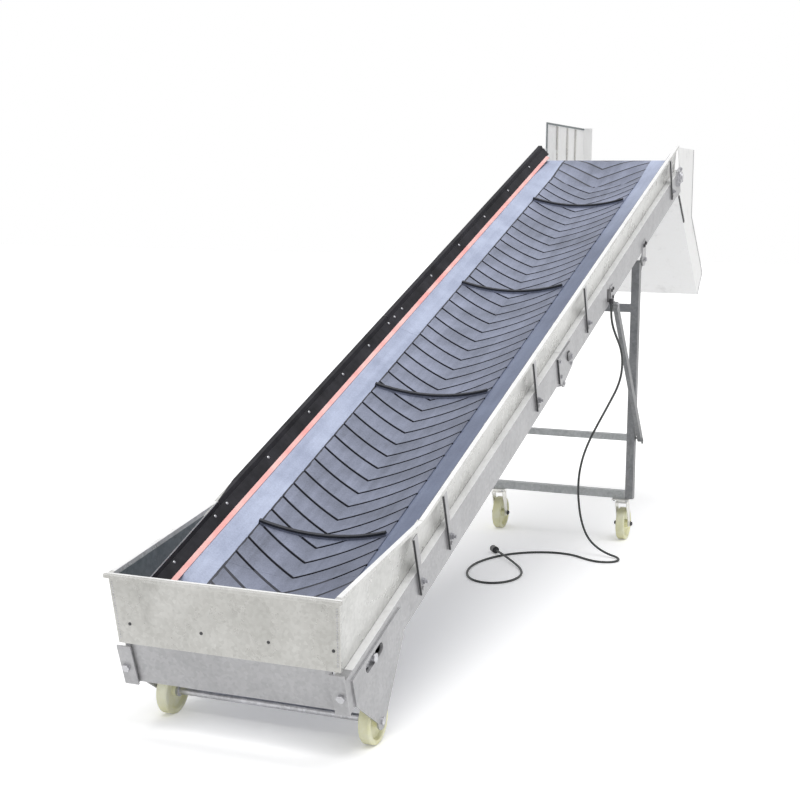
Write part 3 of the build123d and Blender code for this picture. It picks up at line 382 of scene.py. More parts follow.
# Way over a drum: past its axis, s stays at the axis and grows by radius times the angle
# atan2(s - axis, n - axis height), so that the pattern follows the belt round the drum
def wrapOn(tree, s, along, above, drum, way):
    low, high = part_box(drum)
    y = (low[1] + high[1]) / 2 - gauge["frontSide"]
    z = (low[2] + high[2]) / 2 - gauge["hemHeight"]
    axisAlong, axisAbove = y * slopeCos + z * slopeSin, z * slopeCos - y * slopeSin
    radius = (high[2] - low[2]) / 2 + beltSet["thick"]
    past = mathOn(tree, "MULTIPLY", mathOn(tree, "SUBTRACT", along, axisAlong), way)
    past = mathOn(tree, "MAXIMUM", past)
    angle = mathOn(tree, "ARCTAN2", past, mathOn(tree, "SUBTRACT", above, axisAbove))
    angle = mathOn(tree, "MULTIPLY", angle, mathOn(tree, "GREATER_THAN", past))
    extra = mathOn(tree, "SUBTRACT", mathOn(tree, "MULTIPLY", angle, radius), past)
    return mathOn(tree, "MULTIPLY_ADD", extra, way, s)


# Height over the trough's arc, radius - depth - sqrt(radius^2 - x^2)
def overTroughOn(tree, across, above):
    radius = gauge["troughRadius"]
    root = mathOn(tree, "SUBTRACT", radius**2, mathOn(tree, "MULTIPLY", across, across))
    root = mathOn(tree, "SQRT", root)
    arc = mathOn(tree, "SUBTRACT", radius - gauge["troughDepth"], root)
    return mathOn(tree, "SUBTRACT", above, arc)


# Chevron lines from s and x of a point: fract((s - first - rise |x| / half) / pitch), which
# is a groove, painted near black as shade, where it is under groove / pitch
def chevronOn(tree, s, across):
    slant = mathOn(tree, "MULTIPLY", across, beltSet["rise"] / beltSet["patternHalf"])
    phase = mathOn(tree, "SUBTRACT", mathOn(tree, "SUBTRACT", s, beltSet["first"]), slant)
    phase = mathOn(tree, "FRACT", mathOn(tree, "DIVIDE", phase, beltSet["pitch"]))
    return phase, mathOn(tree, "LESS_THAN", phase, beltSet["groove"] / beltSet["pitch"])


# One near the middle of a cleat, nought elsewhere
def cleatsOn(tree, s):
    onCleat = 0.0
    for at in beltSet["cleats"]:
        near = mathOn(tree, "COMPARE", s, at + beltSet["cleatMiddle"], beltSet["cleatReach"])
        onCleat = mathOn(tree, "ADD", near, onCleat)
    return onCleat


# The chevron grooves, painted near black as shade, then the pattern's wandering edge line, painted
# as the shadow of its step, the plain margins and the cleats: no groove runs up a cleat, and only its
# upper part is painted dark, as the cleat's shadow line
def makeBeltRubber():
    material, tree, shader = newMaterial("beltRubber")
    place = objectPlace(tree)
    parts = addNode(tree, "ShaderNodeSeparateXYZ")
    tree.links.new(place, parts.inputs[0])
    x, y, z = parts.outputs
    across = mathOn(tree, "ABSOLUTE", x)
    along, above = inclineOn(tree, y, z)
    s = along
    for drum, way in (("head_drum", 1.0), ("tail_drum", -1.0)):
        s = wrapOn(tree, s, along, above, drum, way)
    phase, inShadedGroove = chevronOn(tree, s, across)
    inPattern = mathOn(tree, "LESS_THAN", across, beltSet["patternHalf"] + beltSet["patternSlack"])
    # Painted shadow: a dark wandering line along the pattern's left edge, where its raised step would
    # shade the belt
    wander = noiseOn(tree, place, **beltWearAndShade["wander"])
    strand = mathOn(tree, "MULTIPLY_ADD", wander, beltSet["edgeWander"], x)
    edgeAt = beltSet["edgeInset"] - beltSet["patternHalf"]
    inEdgeShadow = mathOn(tree, "COMPARE", strand, edgeAt, beltSet["edgeHalf"])
    onCleat = cleatsOn(tree, s)
    inShadedGroove = mathOn(tree, "MULTIPLY", inShadedGroove, mathOn(tree, "SUBTRACT", 1.0, onCleat))
    # Painted shade: the cleats' upper part is coloured near black, standing in for the dark shadow line
    # along each cleat
    overFoot = mathOn(tree, "GREATER_THAN", overTroughOn(tree, across, above), beltSet["cleatFoot"])
    onCleat = mathOn(tree, "MULTIPLY", onCleat, overFoot)
    dust = noiseOn(tree, place, **beltWearAndShade["dust"])
    fine = noiseOn(tree, place, **beltWearAndShade["fine"])
    stretched = objectPlace(tree, beltWearAndShade["streakStretch"], (-gauge["slope"], 0, 0))
    streaks = noiseOn(tree, stretched, **beltWearAndShade["streaks"])
    shares = beltWearAndShade["shares"]
    tone = sumOf(tree, (dust, shares["dust"]), (streaks, shares["streaks"]), (fine, shares["fine"]))
    low, high = beltWearAndShade["topTones"]
    top = rampOn(tree, tone, ((low, beltSet["dark"]), (high, beltSet["light"])))
    top = mixColours(tree, 1.0, top, greyRamp(tree, phase, **beltWearAndShade["ribShade"]), "MULTIPLY")
    # Painted shade: the belt's top is darker towards its low end
    lowEnd = greyRamp(tree, mathOn(tree, "MULTIPLY", s, beltWearAndShade["lowEndPerMetre"]), **beltWearAndShade["lowEnd"])
    top = mixColours(tree, 1.0, top, lowEnd, "MULTIPLY")
    low, high = beltWearAndShade["marginTones"]
    margin = rampOn(tree, tone, ((low, beltSet["marginDark"]), (high, beltSet["marginLight"])))
    # Painted shade on the belt's lower right: the pattern and the right margin are darkened towards the
    # right and down the incline
    rightward = greyRamp(tree, mathOn(tree, "MULTIPLY_ADD", x, *beltWearAndShade["shadeAcross"]), 0.0, 1.0)
    downward = greyRamp(tree, mathOn(tree, "MULTIPLY_ADD", s, *beltWearAndShade["shadeAlong"]), 0.0, 1.0)
    worn = mathOn(tree, "MULTIPLY", rightward, downward)
    shadeOnTop = mathOn(tree, "MULTIPLY", worn, beltWearAndShade["shadeShare"])
    top = mixColours(tree, shadeOnTop, top, tuple(beltWearAndShade["shadeTone"] * c for c in beltSet["dark"]))
    margin = mixColours(tree, worn, margin, mixColours(tree, 1.0, margin, beltSet["shadeSlate"], "MULTIPLY"))
    # The grooves and the pattern's edge line are painted near black as shade
    pattern = mixColours(tree, inShadedGroove, top, beltSet["line"])
    pattern = mixColours(tree, onCleat, pattern, beltSet["cleat"])
    colour = mixColours(tree, inPattern, margin, pattern)
    edged = mathOn(tree, "MULTIPLY", inEdgeShadow, beltSet["edgeShare"])
    colour = mixColours(tree, edged, colour, beltSet["line"])
    tree.links.new(colour, shader.inputs["Base Color"])
    rough = mathOn(tree, "MULTIPLY_ADD", dust, beltWearAndShade["roughSpread"], beltWearAndShade["roughStart"])
    tree.links.new(rough, shader.inputs["Roughness"])
    rise = beltWearAndShade["heights"]
    height = sumOf(tree, (fine, rise["fine"]), (streaks, rise["streaks"]), (inShadedGroove, rise["groove"]))
    bumpOn(tree, shader, height, **beltWearAndShade["bump"])
    return material


# Rubber and nylon: two tones in soft clouds, pale dust, a fine moulded grain
rubberSet = {
    "sealRubber": {
        "dark": (0.008, 0.008, 0.010), "light": (0.034, 0.033, 0.039), "rough": 0.68, "grain": 120.0,
        "shine": 0.25,
    },
    "cableRubber": {
        "dark": (0.023, 0.026, 0.026), "light": (0.058, 0.062, 0.06), "rough": 0.48, "grain": 300.0,
    },
    "redRubber": {
        "dark": (0.95, 0.413, 0.388), "light": (0.95, 0.625, 0.587), "rough": 0.5, "grain": 90.0,
    },
    "wheelNylon": {
        "dark": (0.84, 0.816, 0.48), "light": (0.95, 0.95, 0.744), "rough": 0.38, "grain": 60.0,
    },
    "glandPlastic": {
        "dark": (0.02, 0.02, 0.022), "light": (0.05, 0.05, 0.055), "rough": 0.35, "grain": 200.0,
    },
}

# What the rubbers share, in the same terms as the steels
mouldSet = {
    "clouds": {"scale": 9.0, "detail": 5.0, "roughness": 0.6},
    "tones": (0.35, 0.65),
    "dust": {"scale": 3.5, "detail": 6.0, "roughness": 0.7},
    "dusty": {"low": 0.55, "high": 0.75},
    "dustShare": 0.35,
    "dustTone": 0.8,
    "dustLift": 0.05,
    "roughSpread": 0.2,
    "roughStart": -0.05,
    "shine": 0.5,
    "grain": {"detail": 3.0, "roughness": 0.6},
    "bump": {"strength": 0.2, "distance": 0.0005},
}


def makeRubber(name):
    tone = rubberSet[name]
    material, tree, shader = newMaterial(name)
    place = objectPlace(tree)
    clouds = noiseOn(tree, place, **mouldSet["clouds"])
    dark, light = mouldSet["tones"]
    colour = rampOn(tree, clouds, ((dark, tone["dark"]), (light, tone["light"])))
    dust = greyRamp(tree, noiseOn(tree, place, **mouldSet["dust"]), **mouldSet["dusty"])
    pale = tuple(min(1.0, mouldSet["dustTone"] * c + mouldSet["dustLift"]) for c in tone["light"])
    colour = mixColours(tree, mathOn(tree, "MULTIPLY", dust, mouldSet["dustShare"]), colour, pale)
    tree.links.new(colour, shader.inputs["Base Color"])
    least = tone["rough"] + mouldSet["roughStart"]
    rough = mathOn(tree, "MULTIPLY_ADD", clouds, mouldSet["roughSpread"], least)
    tree.links.new(rough, shader.inputs["Roughness"])
    shader.inputs["Specular IOR Level"].default_value = tone.get("shine", mouldSet["shine"])
    grain = noiseOn(tree, place, tone["grain"], **mouldSet["grain"])
    bumpOn(tree, shader, grain, **mouldSet["bump"])
    return material


materials = {name: makeSteel(name) for name in steelSet}
materials.update({name: makeRubber(name) for name in rubberSet})
materials["beltRubber"] = makeBeltRubber()

# Which finish each slot of the record gets on the carried-over nodes
finishOfSlot = {
    "rail_grey": "railSteel",
    "sheet_white": "sheetSteel",
    "stand_grey": "standSteel",
    "belt_rubber": "beltRubber",
    "seal_rubber": "sealRubber",
    "drum_steel": "drumSteel",
    "castor_steel": "zincSteel",
    "wheel_nylon": "wheelNylon",
    "cable_rubber": "glandPlastic",
}

# Nodes with a finish of their own
finishOfNode = {
    "lower_skirt_left": "sideSteel",
    "lower_skirt_right": "sideSteel",
    "upper_skirt_left": "sideSteel",
    "upper_skirt_right": "sideSteel",
    "chute": "chuteSteel",
    "head_guard": "chuteSteel",
    "low_crossbar": "barSteel",
    "mid_crossbar": "barSteel",
}


def finishNodes():
    slotOfNode = {row["node"]: row["material_slot"] for row in frame["record"]["subparts"]}
    for node, slotName in slotOfNode.items():
        piece = bpy.data.objects[node]
        finish = finishOfNode.get(node, finishOfSlot[slotName])
        piece.data.materials.clear()
        piece.data.materials.append(materials[finish])


finishNodes()
print("stage: materials")


# A closed mesh's faces turned outwards: its volume, the sum of a . (b x c) / 6
# over its triangles, is made positive
def turnOut(mesh, points):
    mesh.calc_loop_triangles()
    corners = np.empty(3 * len(mesh.loop_triangles), np.int32)
    mesh.loop_triangles.foreach_get("vertices", corners)
    points = points - points.mean(axis=0)
    a, b, c = (points[corners[k::3]] for k in range(3))
    if np.sum(a * np.cross(b, c)) < 0:
        mesh.flip_normals()


sharpFrom = radians(35)  # sharper edges stay crisp on smooth pieces


# A mesh from grids of points: the rows are closed into rings, and both ends are capped
def gridPiece(name, grids, material, body, smooth=True):
    grids = np.asarray(grids, float)
    if grids.ndim == 3:
        grids = grids[None]
    count, rows, columns, _ = grids.shape
    start = (np.arange(count) * rows * columns)[:, None]
    cell = np.arange(rows - 1)[:, None] * columns
    across = np.arange(columns)[None, :]
    beside = (across + 1) % columns
    quads = np.stack([cell + across, cell + beside, cell + columns + beside, cell + columns + across], -1)
    quads = (quads[None] + start[..., None, None]).reshape(-1, 4)
    first = np.arange(columns)[::-1] + start
    last = np.arange(columns) + (rows - 1) * columns + start
    mesh = bpy.data.meshes.new(name)
    mesh.from_pydata(grids.reshape(-1, 3).tolist(), [], quads.tolist() + first.tolist() + last.tolist())
    mesh.polygons.foreach_set("use_smooth", np.full(len(mesh.polygons), smooth))
    mesh.materials.append(material)
    mesh.update()
    turnOut(mesh, grids.reshape(-1, 3))
    piece = bpy.data.objects.new(name, mesh)
    bpy.context.scene.collection.objects.link(piece)
    if smooth:
        mesh.set_sharp_from_angle(angle=sharpFrom)
    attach(piece, body)
    return piece


# Rings of a turned shape, set at many places, each with its own axis and a vector across
# it: place + height axis + radius (cos a side + sin a third), for each radius and height
def turnedGrids(places, axes, sides, profile, count):
    places, axes, sides = (np.asarray(v, float) for v in (places, axes, sides))
    axes = np.broadcast_to(axes, places.shape)
    sides = np.broadcast_to(sides, places.shape)
    sides = sides - axes * np.sum(sides * axes, -1, keepdims=True)
    sides = sides / np.linalg.norm(sides, axis=-1, keepdims=True)
    third = np.cross(axes, sides)
    angle = 2 * np.pi * np.arange(count) / count
    ring = np.cos(angle)[:, None] * sides[:, None] + np.sin(angle)[:, None] * third[:, None]
    return (
        places[:, None, None]
        + profile[None, :, 1, None, None] * axes[:, None, None]
        + profile[None, :, 0, None, None] * ring[:, None]
    )


# Straight bars between pairs of places: each end holds the profile's corners, laid off
# in the two directions given
def barsAt(name, body, starts, ends, profile, sideways, upward, finish):
    corners = np.asarray(profile, float)
    corners = corners[:, :1] * np.asarray(sideways, float) + corners[:, 1:] * np.asarray(upward, float)
    paths = np.stack([np.asarray(starts, float), np.asarray(ends, float)], axis=1)
    return gridPiece(name, paths[:, :, None] + corners, materials[finish], body, smooth=False)


# Corners of a flat bar's profile, with the middle of its foot at nought
def flat(width, height):
    half = width / 2
    return ((-half, 0), (half, 0), (half, height), (-half, height))


# Cable: the route of the solid tube, as one smooth spline; its points are in
# millimetres, with y from the hopper's front
cableSet = {
    "diameter": 0.011,
    "length": 3.55,
    "route": (
        (412, 2962, 1262), (412, 2962, 1215), (417, 2976, 1160), (428, 3012, 1105),
        (437, 3065, 1050), (436, 3112, 985), (423, 3150, 910), (397, 3175, 840),
        (362, 3190, 775), (325, 3198, 705), (288, 3203, 635), (252, 3206, 560),
        (224, 3206, 480), (208, 3206, 395), (206, 3206, 310), (214, 3206, 225),
        (232, 3204, 145), (266, 3198, 78), (318, 3192, 36), (376, 3180, 14),
        (430, 3158, 8), (450, 3104, 6), (424, 3052, 6), (364, 3034, 6),
        (300, 3060, 6), (208, 3130, 6), (115, 3140, 6), (20, 3105, 6),
        (-62, 3035, 6), (-118, 2945, 6), (-152, 2845, 6), (-168, 2735, 6),
        (-158, 2625, 6), (-128, 2520, 6), (-68, 2432, 6), (15, 2405, 6),
        (85, 2458, 6), (112, 2550, 6), (104, 2645, 6), (68, 2735, 8),
        (12, 2812, 12), (-48, 2880, 19), (-102, 2945, 21.5), (-142, 2998, 19.5),
    ),
}


def makeCable():
    points = np.array(cableSet["route"], float) / 1000
    points[:, 1] += gauge["frontSide"]
    data = bpy.data.curves.new("supplyCable", "CURVE")
    data.dimensions = "3D"
    data.bevel_depth = cableSet["diameter"] / 2
    data.bevel_resolution = 4
    data.use_fill_caps = True
    data.resolution_u = 8
    spline = data.splines.new("NURBS")
    spline.points.add(len(points) - 1)
    spline.points.foreach_set("co", np.c_[points, np.ones(len(points))].ravel())
    spline.order_u = 3
    spline.use_endpoint_u = True
    data.materials.append(materials["cableRubber"])
    cable = bpy.data.objects.new("supplyCable", data)
    bpy.context.scene.collection.objects.link(cable)
    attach(cable, "upper_section")
    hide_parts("cable")
    return cable, points


cable, cablePoints = makeCable()
print("stage: cable")

# Fasteners: hexagon heads on washers, small domed screws, studs with their nuts and
# plain washers, each a profile of radius and height turned with so many sides
boltSet = {
    "head": {
        "sides": 6,
        "profile": (
            (0.0001, 0.0), (0.0095, 0.0), (0.0095, 0.0015), (0.0065, 0.0015),
            (0.0065, 0.0052), (0.0058, 0.006), (0.0001, 0.006),
        ),
    },
    "screw": {
        "sides": 12,
        "profile": (
            (0.0001, 0.0), (0.0062, 0.0), (0.0060, 0.0016),
            (0.0044, 0.0032), (0.0016, 0.0038), (0.0001, 0.0038),
        ),
    },
    "stud": {
        "sides": 6,
        "profile": (
            (0.0001, 0.0), (0.0135, 0.0), (0.0135, 0.0025), (0.0105, 0.0025),
            (0.0105, 0.0115), (0.006, 0.0115), (0.006, 0.020), (0.0001, 0.020),
        ),
    },
    "washer": {
        "sides": 24,
        "profile": ((0.0001, 0.0), (0.0235, 0.0), (0.0235, 0.003), (0.0001, 0.003)),
    },
}


# One kind of fastener at many places, turned round an axis, with a corner towards "side"
def boltsAt(name, body, places, axis, side, kind="head", size=1.0, finish="boltSteel"):
    profile = np.array(boltSet[kind]["profile"]) * size
    count = boltSet[kind]["sides"]
    grids = turnedGrids(places, axis, side, profile, count)
    rounded = count > boltSet["head"]["sides"]
    return gridPiece(name, grids, materials[finish], body, smooth=rounded)


# Fasteners on one outer side, at places in s and n, that point outwards
def sideBolts(name, body, side, half, s, n, kind="head", size=1.0, finish="boltSteel"):
    way, word = side
    places = onConveyor(way * half, s, n)
    boltsAt(f"{name}_{word}", body, places, way * widthWay, alongIncline, kind, size, finish)


# Painted shade on one outer side: dark flat bars at s, from one height to another, in the place of shaded
# faces
def sideShadeBars(name, body, side, half, s, heights, bar):
    way, word = side
    starts, ends = (onConveyor(way * half, s, n) for n in heights)
    outwards = way * widthWay
    barsAt(f"{name}_{word}", body, starts, ends, bar, alongIncline, outwards, "darkSteelAndShade")


# Screws of the leaning seals, at these places along s and at one depth under the hem
sealScrewSet = {
    "places": {
        "lower_section": (0.31, 0.61, 0.70, 1.04, 1.41, 1.75, 2.03, 2.26),
        "upper_section": (2.33, 2.42, 2.80, 3.19, 3.58, 3.97, 4.35),
    },
    "depth": 0.024,
    "topHalf": 0.3737,
    "topDepth": 0.016,
    "footHalf": 0.346,
    "footDepth": 0.050,
}


# The seal's half width grows by lean = (top half - foot half) / (foot depth - top depth)
# with its height, and a screw's axis is (-1, lean) in x and n
def makeSealScrews():
    rise = sealScrewSet["footDepth"] - sealScrewSet["topDepth"]
    lean = (sealScrewSet["topHalf"] - sealScrewSet["footHalf"]) / rise
    half = sealScrewSet["footHalf"] + lean * (sealScrewSet["footDepth"] - sealScrewSet["depth"])
    for body, s in sealScrewSet["places"].items():
        for side, word in bothSides:
            places = onConveyor(side * half, s, -sealScrewSet["depth"])
            axis = -side * widthWay + lean * offIncline
            axis = axis / np.linalg.norm(axis)
            boltsAt(f"{body}_seal_screws_{word}", body, places, axis, alongIncline, "screw")


# Each strap has a stud with its nut, and a dark bar on its lower side, painted shade where the strap's
# lower face is in shadow
strapSet = {
    "places": {"lower_section": (0.5906, 0.8789, 1.9391), "upper_section": (2.7110, 4.4408)},
    "studAt": 0.010,
    "studHeight": -0.194,
    "studHalf": 0.400,
    "edgeAt": -0.0215,
    "edgeHeights": (-0.014, -0.230),
    "edgeHalf": 0.3995,
    "edge": flat(0.004, 0.006),
}


def makeStrapStuds():
    half, height = strapSet["studHalf"], strapSet["studHeight"]
    edgeHalf, heights, bar = strapSet["edgeHalf"], strapSet["edgeHeights"], strapSet["edge"]
    for body, straps in strapSet["places"].items():
        studs = np.array(straps) + strapSet["studAt"]
        edges = np.array(straps) + strapSet["edgeAt"]
        for side in bothSides:
            sideBolts(f"{body}_strap_studs", body, side, half, studs, height, "stud")
            sideShadeBars(f"{body}_strap_edges", body, side, edgeHalf, edges, heights, bar)


# Front of the hopper: the sheet's foot stands out by "lean" and is narrower by "widening"
# than its rim, which is "drop" above it; bolts in a row, weld spots up both corners
frontSet = {
    "lean": 0.043,
    "drop": 0.2355,
    "footHalf": 0.381,
    "widening": 0.013,
    "bolts": (-0.3417, -0.0832, 0.1518, 0.3711),
    "boltHeight": -0.036,
    "boltSize": 0.9,
    "spotHeights": np.linspace(0.100, -0.085, 22),
    "spotSize": 0.4,
}


# The front sheet's outer face at a height: s = -lean (rise - n) / drop
def frontFace(n):
    return -frontSet["lean"] * (gauge["hopperRise"] - n) / frontSet["drop"]


def makeFrontBolts():
    axis = frontSet["lean"] * offIncline - frontSet["drop"] * alongIncline
    axis = axis / np.linalg.norm(axis)
    n = frontSet["boltHeight"]
    places = onConveyor(frontSet["bolts"], frontFace(n), n)
    size = frontSet["boltSize"]
    boltsAt("hopper_front_bolts", "lower_section", places, axis, widthWay, "screw", size, "darkSteelAndShade")
    n = frontSet["spotHeights"]
    share = (n - gauge["hopperRise"] + frontSet["drop"]) / frontSet["drop"]
    half = frontSet["footHalf"] + frontSet["widening"] * share
    for side, word in bothSides:
        spots = onConveyor(side * half, frontFace(n), n)
        name = f"hopper_weld_spots_{word}"
        boltsAt(name, "lower_section", spots, axis, widthWay, "screw", frontSet["spotSize"])


# Fold locks: a dark washer round each boss, a bolt on its end, a dark bar painted as the shadow of the
# plate's edge, and its bolts; places are s and n
foldLockSet = {
    "boss": (2.380, -0.198),
    "bossHalf": 0.4146,
    "bossBoltSize": 1.6,
    "plateHalf": 0.4023,
    "plateBolts": ((2.262, 2.262, 2.410), (-0.170, -0.240, -0.245)),
    "plateBoltSize": 1.1,
    "edgeAt": 2.238,
    "edgeHeights": (-0.150, -0.262),
    "edgeHalf": 0.3963,
    "edge": flat(0.004, 0.007),
}


def makeFoldLocks():
    body, lock = "upper_section", foldLockSet
    s, n = lock["boss"]
    at, heights = [lock["edgeAt"]], lock["edgeHeights"]
    for side in bothSides:
        sideBolts("fold_lock_washer", body, side, lock["plateHalf"], [s], n, "washer", finish="darkSteelAndShade")
        sideBolts("fold_lock_bolt", body, side, lock["bossHalf"], [s], n, size=lock["bossBoltSize"])
        sideShadeBars("fold_plate_edge_shade", body, side, lock["edgeHalf"], at, heights, lock["edge"])
        size = lock["plateBoltSize"]
        sideBolts("fold_plate_bolts", body, side, lock["plateHalf"], *lock["plateBolts"], size=size)


# Bolts of the head bearings, the brace lugs and the leg brackets: s and n of the first
# two, y from the front and z of the last, and the steps from there to each bolt
bracketSet = {
    "bearing": (4.600, -0.1637),
    "bearingHalf": 0.4080,
    "bearingReach": 0.033,
    "bearingBoltSize": 1.2,
    "lug": (3.134, -0.290),
    "lugHalf": 0.402,
    "lugSteps": ((-0.013, 0.013, 0), (0.082, 0.082, 0.045)),
    "pivotHalf": 0.4243,
    "pivotWasherSize": 0.6,
    "leg": (3.626, 1.4519),
    "legHalf": 0.402,
    "legSteps": ((-0.015, 0.070), (0.015, 0.082)),
    "legBoltSize": 1.3,
    "pinHalf": 0.407,
    "pinNutSize": 1.5,
}


def makeBracketBolts():
    body, bracket = "upper_section", bracketSet
    square = np.array(((-1, 1, 1, -1), (-1, -1, 1, 1)))
    bearing = np.array(bracket["bearing"])[:, None] + bracket["bearingReach"] * square
    pivot = np.array(bracket["lug"])[:, None]
    lug = pivot + np.array(bracket["lugSteps"])
    y, z = gauge["frontSide"] + bracket["leg"][0], bracket["leg"][1]
    for side in bothSides:
        way, word = side
        outwards = way * widthWay
        size = bracket["bearingBoltSize"]
        sideBolts("bearing_bolts", body, side, bracket["bearingHalf"], *bearing, size=size)
        sideBolts("brace_lug_bolts", body, side, bracket["lugHalf"], *lug, finish="darkSteelAndShade")
        size = bracket["pivotWasherSize"]
        sideBolts("brace_pivot_washer", body, side, bracket["pivotHalf"], *pivot, "washer", size)
        plate = [(way * bracket["legHalf"], y + over, z + up) for over, up in bracket["legSteps"]]
        name, size = f"leg_bracket_bolts_{word}", bracket["legBoltSize"]
        boltsAt(name, body, plate, outwards, alongIncline, "head", size, "darkSteelAndShade")
        pin = [(way * bracket["pinHalf"], y, z)]
        boltsAt(f"leg_pin_nut_{word}", body, pin, outwards, alongIncline, "head", bracket["pinNutSize"])


# Castors: bolts under the top plates, and a nut at each end of the wheel's axle; the
# castor's place is x and y from the front, its axle is y from there and z
castorSet = {
    "place": (0.336, 3.586),
    "plateSteps": (0.033, 0.045),
    "plateUnder": 0.218,
    "axle": (0.035, 0.084),
    "axleHalf": 0.038,
    "nutSize": 1.5,
}


def makeCastorBolts():
    down = np.array((0, 0, -1.0))
    stand = gauge["frontSide"] + castorSet["place"][1]
    across, along = castorSet["plateSteps"]
    under = castorSet["plateUnder"]
    trail, height = castorSet["axle"]
    for side, word in bothSides:
        x = side * castorSet["place"][0]
        corners = [(x + a * across, stand + b * along, under) for a in (-1, 1) for b in (-1, 1)]
        boltsAt(f"castor_plate_bolts_{word}", "leg_frame", corners, down, widthWay)
        for end, name in ((-1, "inner"), (1, "outer")):
            way = end * side
            nut = [(x + way * castorSet["axleHalf"], stand + trail, height)]
            piece = f"castor_axle_nut_{name}_{word}"
            size = castorSet["nutSize"]
            boltsAt(piece, f"castor_{word}", nut, way * widthWay, down, "head", size, "darkSteelAndShade")


makeSealScrews()
makeStrapStuds()
makeFrontBolts()
makeFoldLocks()
makeBracketBolts()
makeCastorBolts()
print("stage: fasteners")

# The top run at the tail, troughed again close behind the drum: n goes evenly from the
# drum's top to the trough's arc, with the raised pattern over it
runSet = {
    "start": 0.191,
    "full": 0.300,
    "end": 0.4396,
    "flatDepth": 0.140,
    "layers": {
        "base": {"half": 0.3495, "lift": 0.0, "thick": 0.004},
        "pattern": {"half": beltSet["patternHalf"], "lift": 0.005, "thick": 0.0045},
    },
    "rows": 9,
    "columns": 41,
}


def makeLowRun():
    start, full = runSet["start"], runSet["full"]
    s = np.concatenate([np.linspace(start, full, runSet["rows"]), [runSet["end"]]])[:, None]
    share = np.clip((s - start) / (full - start), 0, 1)
    for part, layer in runSet["layers"].items():
        x = np.linspace(-layer["half"], layer["half"], runSet["columns"])
        top = (1 - share) * -runSet["flatDepth"] + share * troughHeight(x) + layer["lift"]
        n = np.concatenate([top, top[:, ::-1] - layer["thick"]], axis=1)
        grid = onConveyor(np.concatenate([x, x[::-1]])[None], s, n)
        gridPiece(f"belt_low_run_{part}", grid, materials["beltRubber"], "lower_section")


makeLowRun()
print("stage: belt")

# Red lip that closes the seal on the belt's edge, a thin band over the trough's arc
lipSet = {
    "runs": (
        ("lower_section", -0.026, gauge["foldAt"] - gauge["foldGap"]),
        ("upper_section", gauge["foldAt"] + gauge["foldGap"], 4.610),
    ),
    "inner": {"left": 0.331, "right": 0.348},
    "outer": 0.3520,
    "rise": 0.0016,
    "thick": 0.002,
    "rows": 24,
    "columns": 12,
}


def makeLips():
    for body, start, end in lipSet["runs"]:
        s = np.linspace(start, end, lipSet["rows"])[:, None]
        for side, word in bothSides:
            half = np.linspace(lipSet["inner"][word], lipSet["outer"], lipSet["columns"])
            under = troughHeight(half) + lipSet["rise"]
            n = np.concatenate([under, under[::-1] + lipSet["thick"]])
            grid = onConveyor(side * np.concatenate([half, half[::-1]])[None], s, n[None])
            gridPiece(f"{body}_lip_{word}", grid, materials["redRubber"], body)


makeLips()

# Rubber edging over the left hem: half widths and heights of its profile, its two runs
# along s and how its first stretch tapers
edgingSet = {
    "profile": (
        (0.4014, -0.008), (0.4014, 0.0014), (0.3816, 0.0014), (0.3768, -0.0150),
        (0.3778, -0.0150), (0.3827, 0.0002), (0.4002, 0.0002), (0.4002, -0.008),
    ),
    "runs": (
        {"body": "lower_section", "start": 0.672, "end": 2.2885, "taper": 0.150},
        {"body": "upper_section", "start": 2.2915, "end": 4.646, "taper": 0.002},
    ),
    "taperShares": (0.08, 0.98),
    "bed": -0.0004,
    "rows": 30,
}

# Inner faces of the hopper's sides, with the edging, the pale clamp strip and the dark
# liner that lie on them: each runs along s, from one height to another or to a distance
# under the rim, and its two faces stand off the wall by the distances in "off"
hopperSet = {
    "foot": 0.365,
    "footDepth": 0.138,
    "hem": 0.383,
    "flare": 0.003,
    "rows": 12,
    "strips": {
        "edging": {
            "run": (-0.020, 0.668),
            "low": -0.0150,
            "high": 0.0010,
            "off": (0.0004, 0.0022),
            "finish": "sealRubber",
            "slot": "seal_rubber",
        },
        "clamp": {
            "run": (-0.020, 0.668),
            "low": 0.0012,
            "high": 0.0050,
            "off": (0.0002, 0.0026),
            "finish": "zincSteel",
            "slot": "castor_steel",
        },
        "liner": {
            "run": (0.004, 0.560),
            "low": 0.0052,
            "underRim": 0.014,
            "off": (0.0003, 0.0016),
            "finish": "linerSteel",
            "slot": "rail_grey",
        },
    },
}


# Share of the flare: 1 at the hopper's front, 0 where the flare ends
def flareShare(s):
    return (gauge["hopperLength"] - s) / gauge["hopperLength"]


# Inner face of a hopper side: x = foot + (hem - foot) (n + depth) / (rise + depth),
# where the hem's half width and rise grow evenly towards the front
def hopperWall(s, n):
    foot, depth = hopperSet["foot"], hopperSet["footDepth"]
    hem = hopperSet["hem"] + hopperSet["flare"] * flareShare(s)
    rise = gauge["hopperRise"] * flareShare(s)
    return foot + (hem - foot) * (n + depth) / (rise + depth)


def makeHopperStrips():
    for side, word in bothSides:
        for name, strip in hopperSet["strips"].items():
            s = np.linspace(*strip["run"], hopperSet["rows"])[:, None]
            low = np.full_like(s, strip["low"])
            if "underRim" in strip:
                high = gauge["hopperRise"] * flareShare(s) - strip["underRim"]
            else:
                high = np.full_like(s, strip["high"])
            n = np.concatenate([low, high, high, low], axis=1)
            near, far = strip["off"]
            grid = onConveyor(side * (hopperWall(s, n) - (near, near, far, far)), s, n)
            finish = materials[strip["finish"]]
            gridPiece(f"hopper_{name}_{word}", grid, finish, "lower_section", smooth=False)


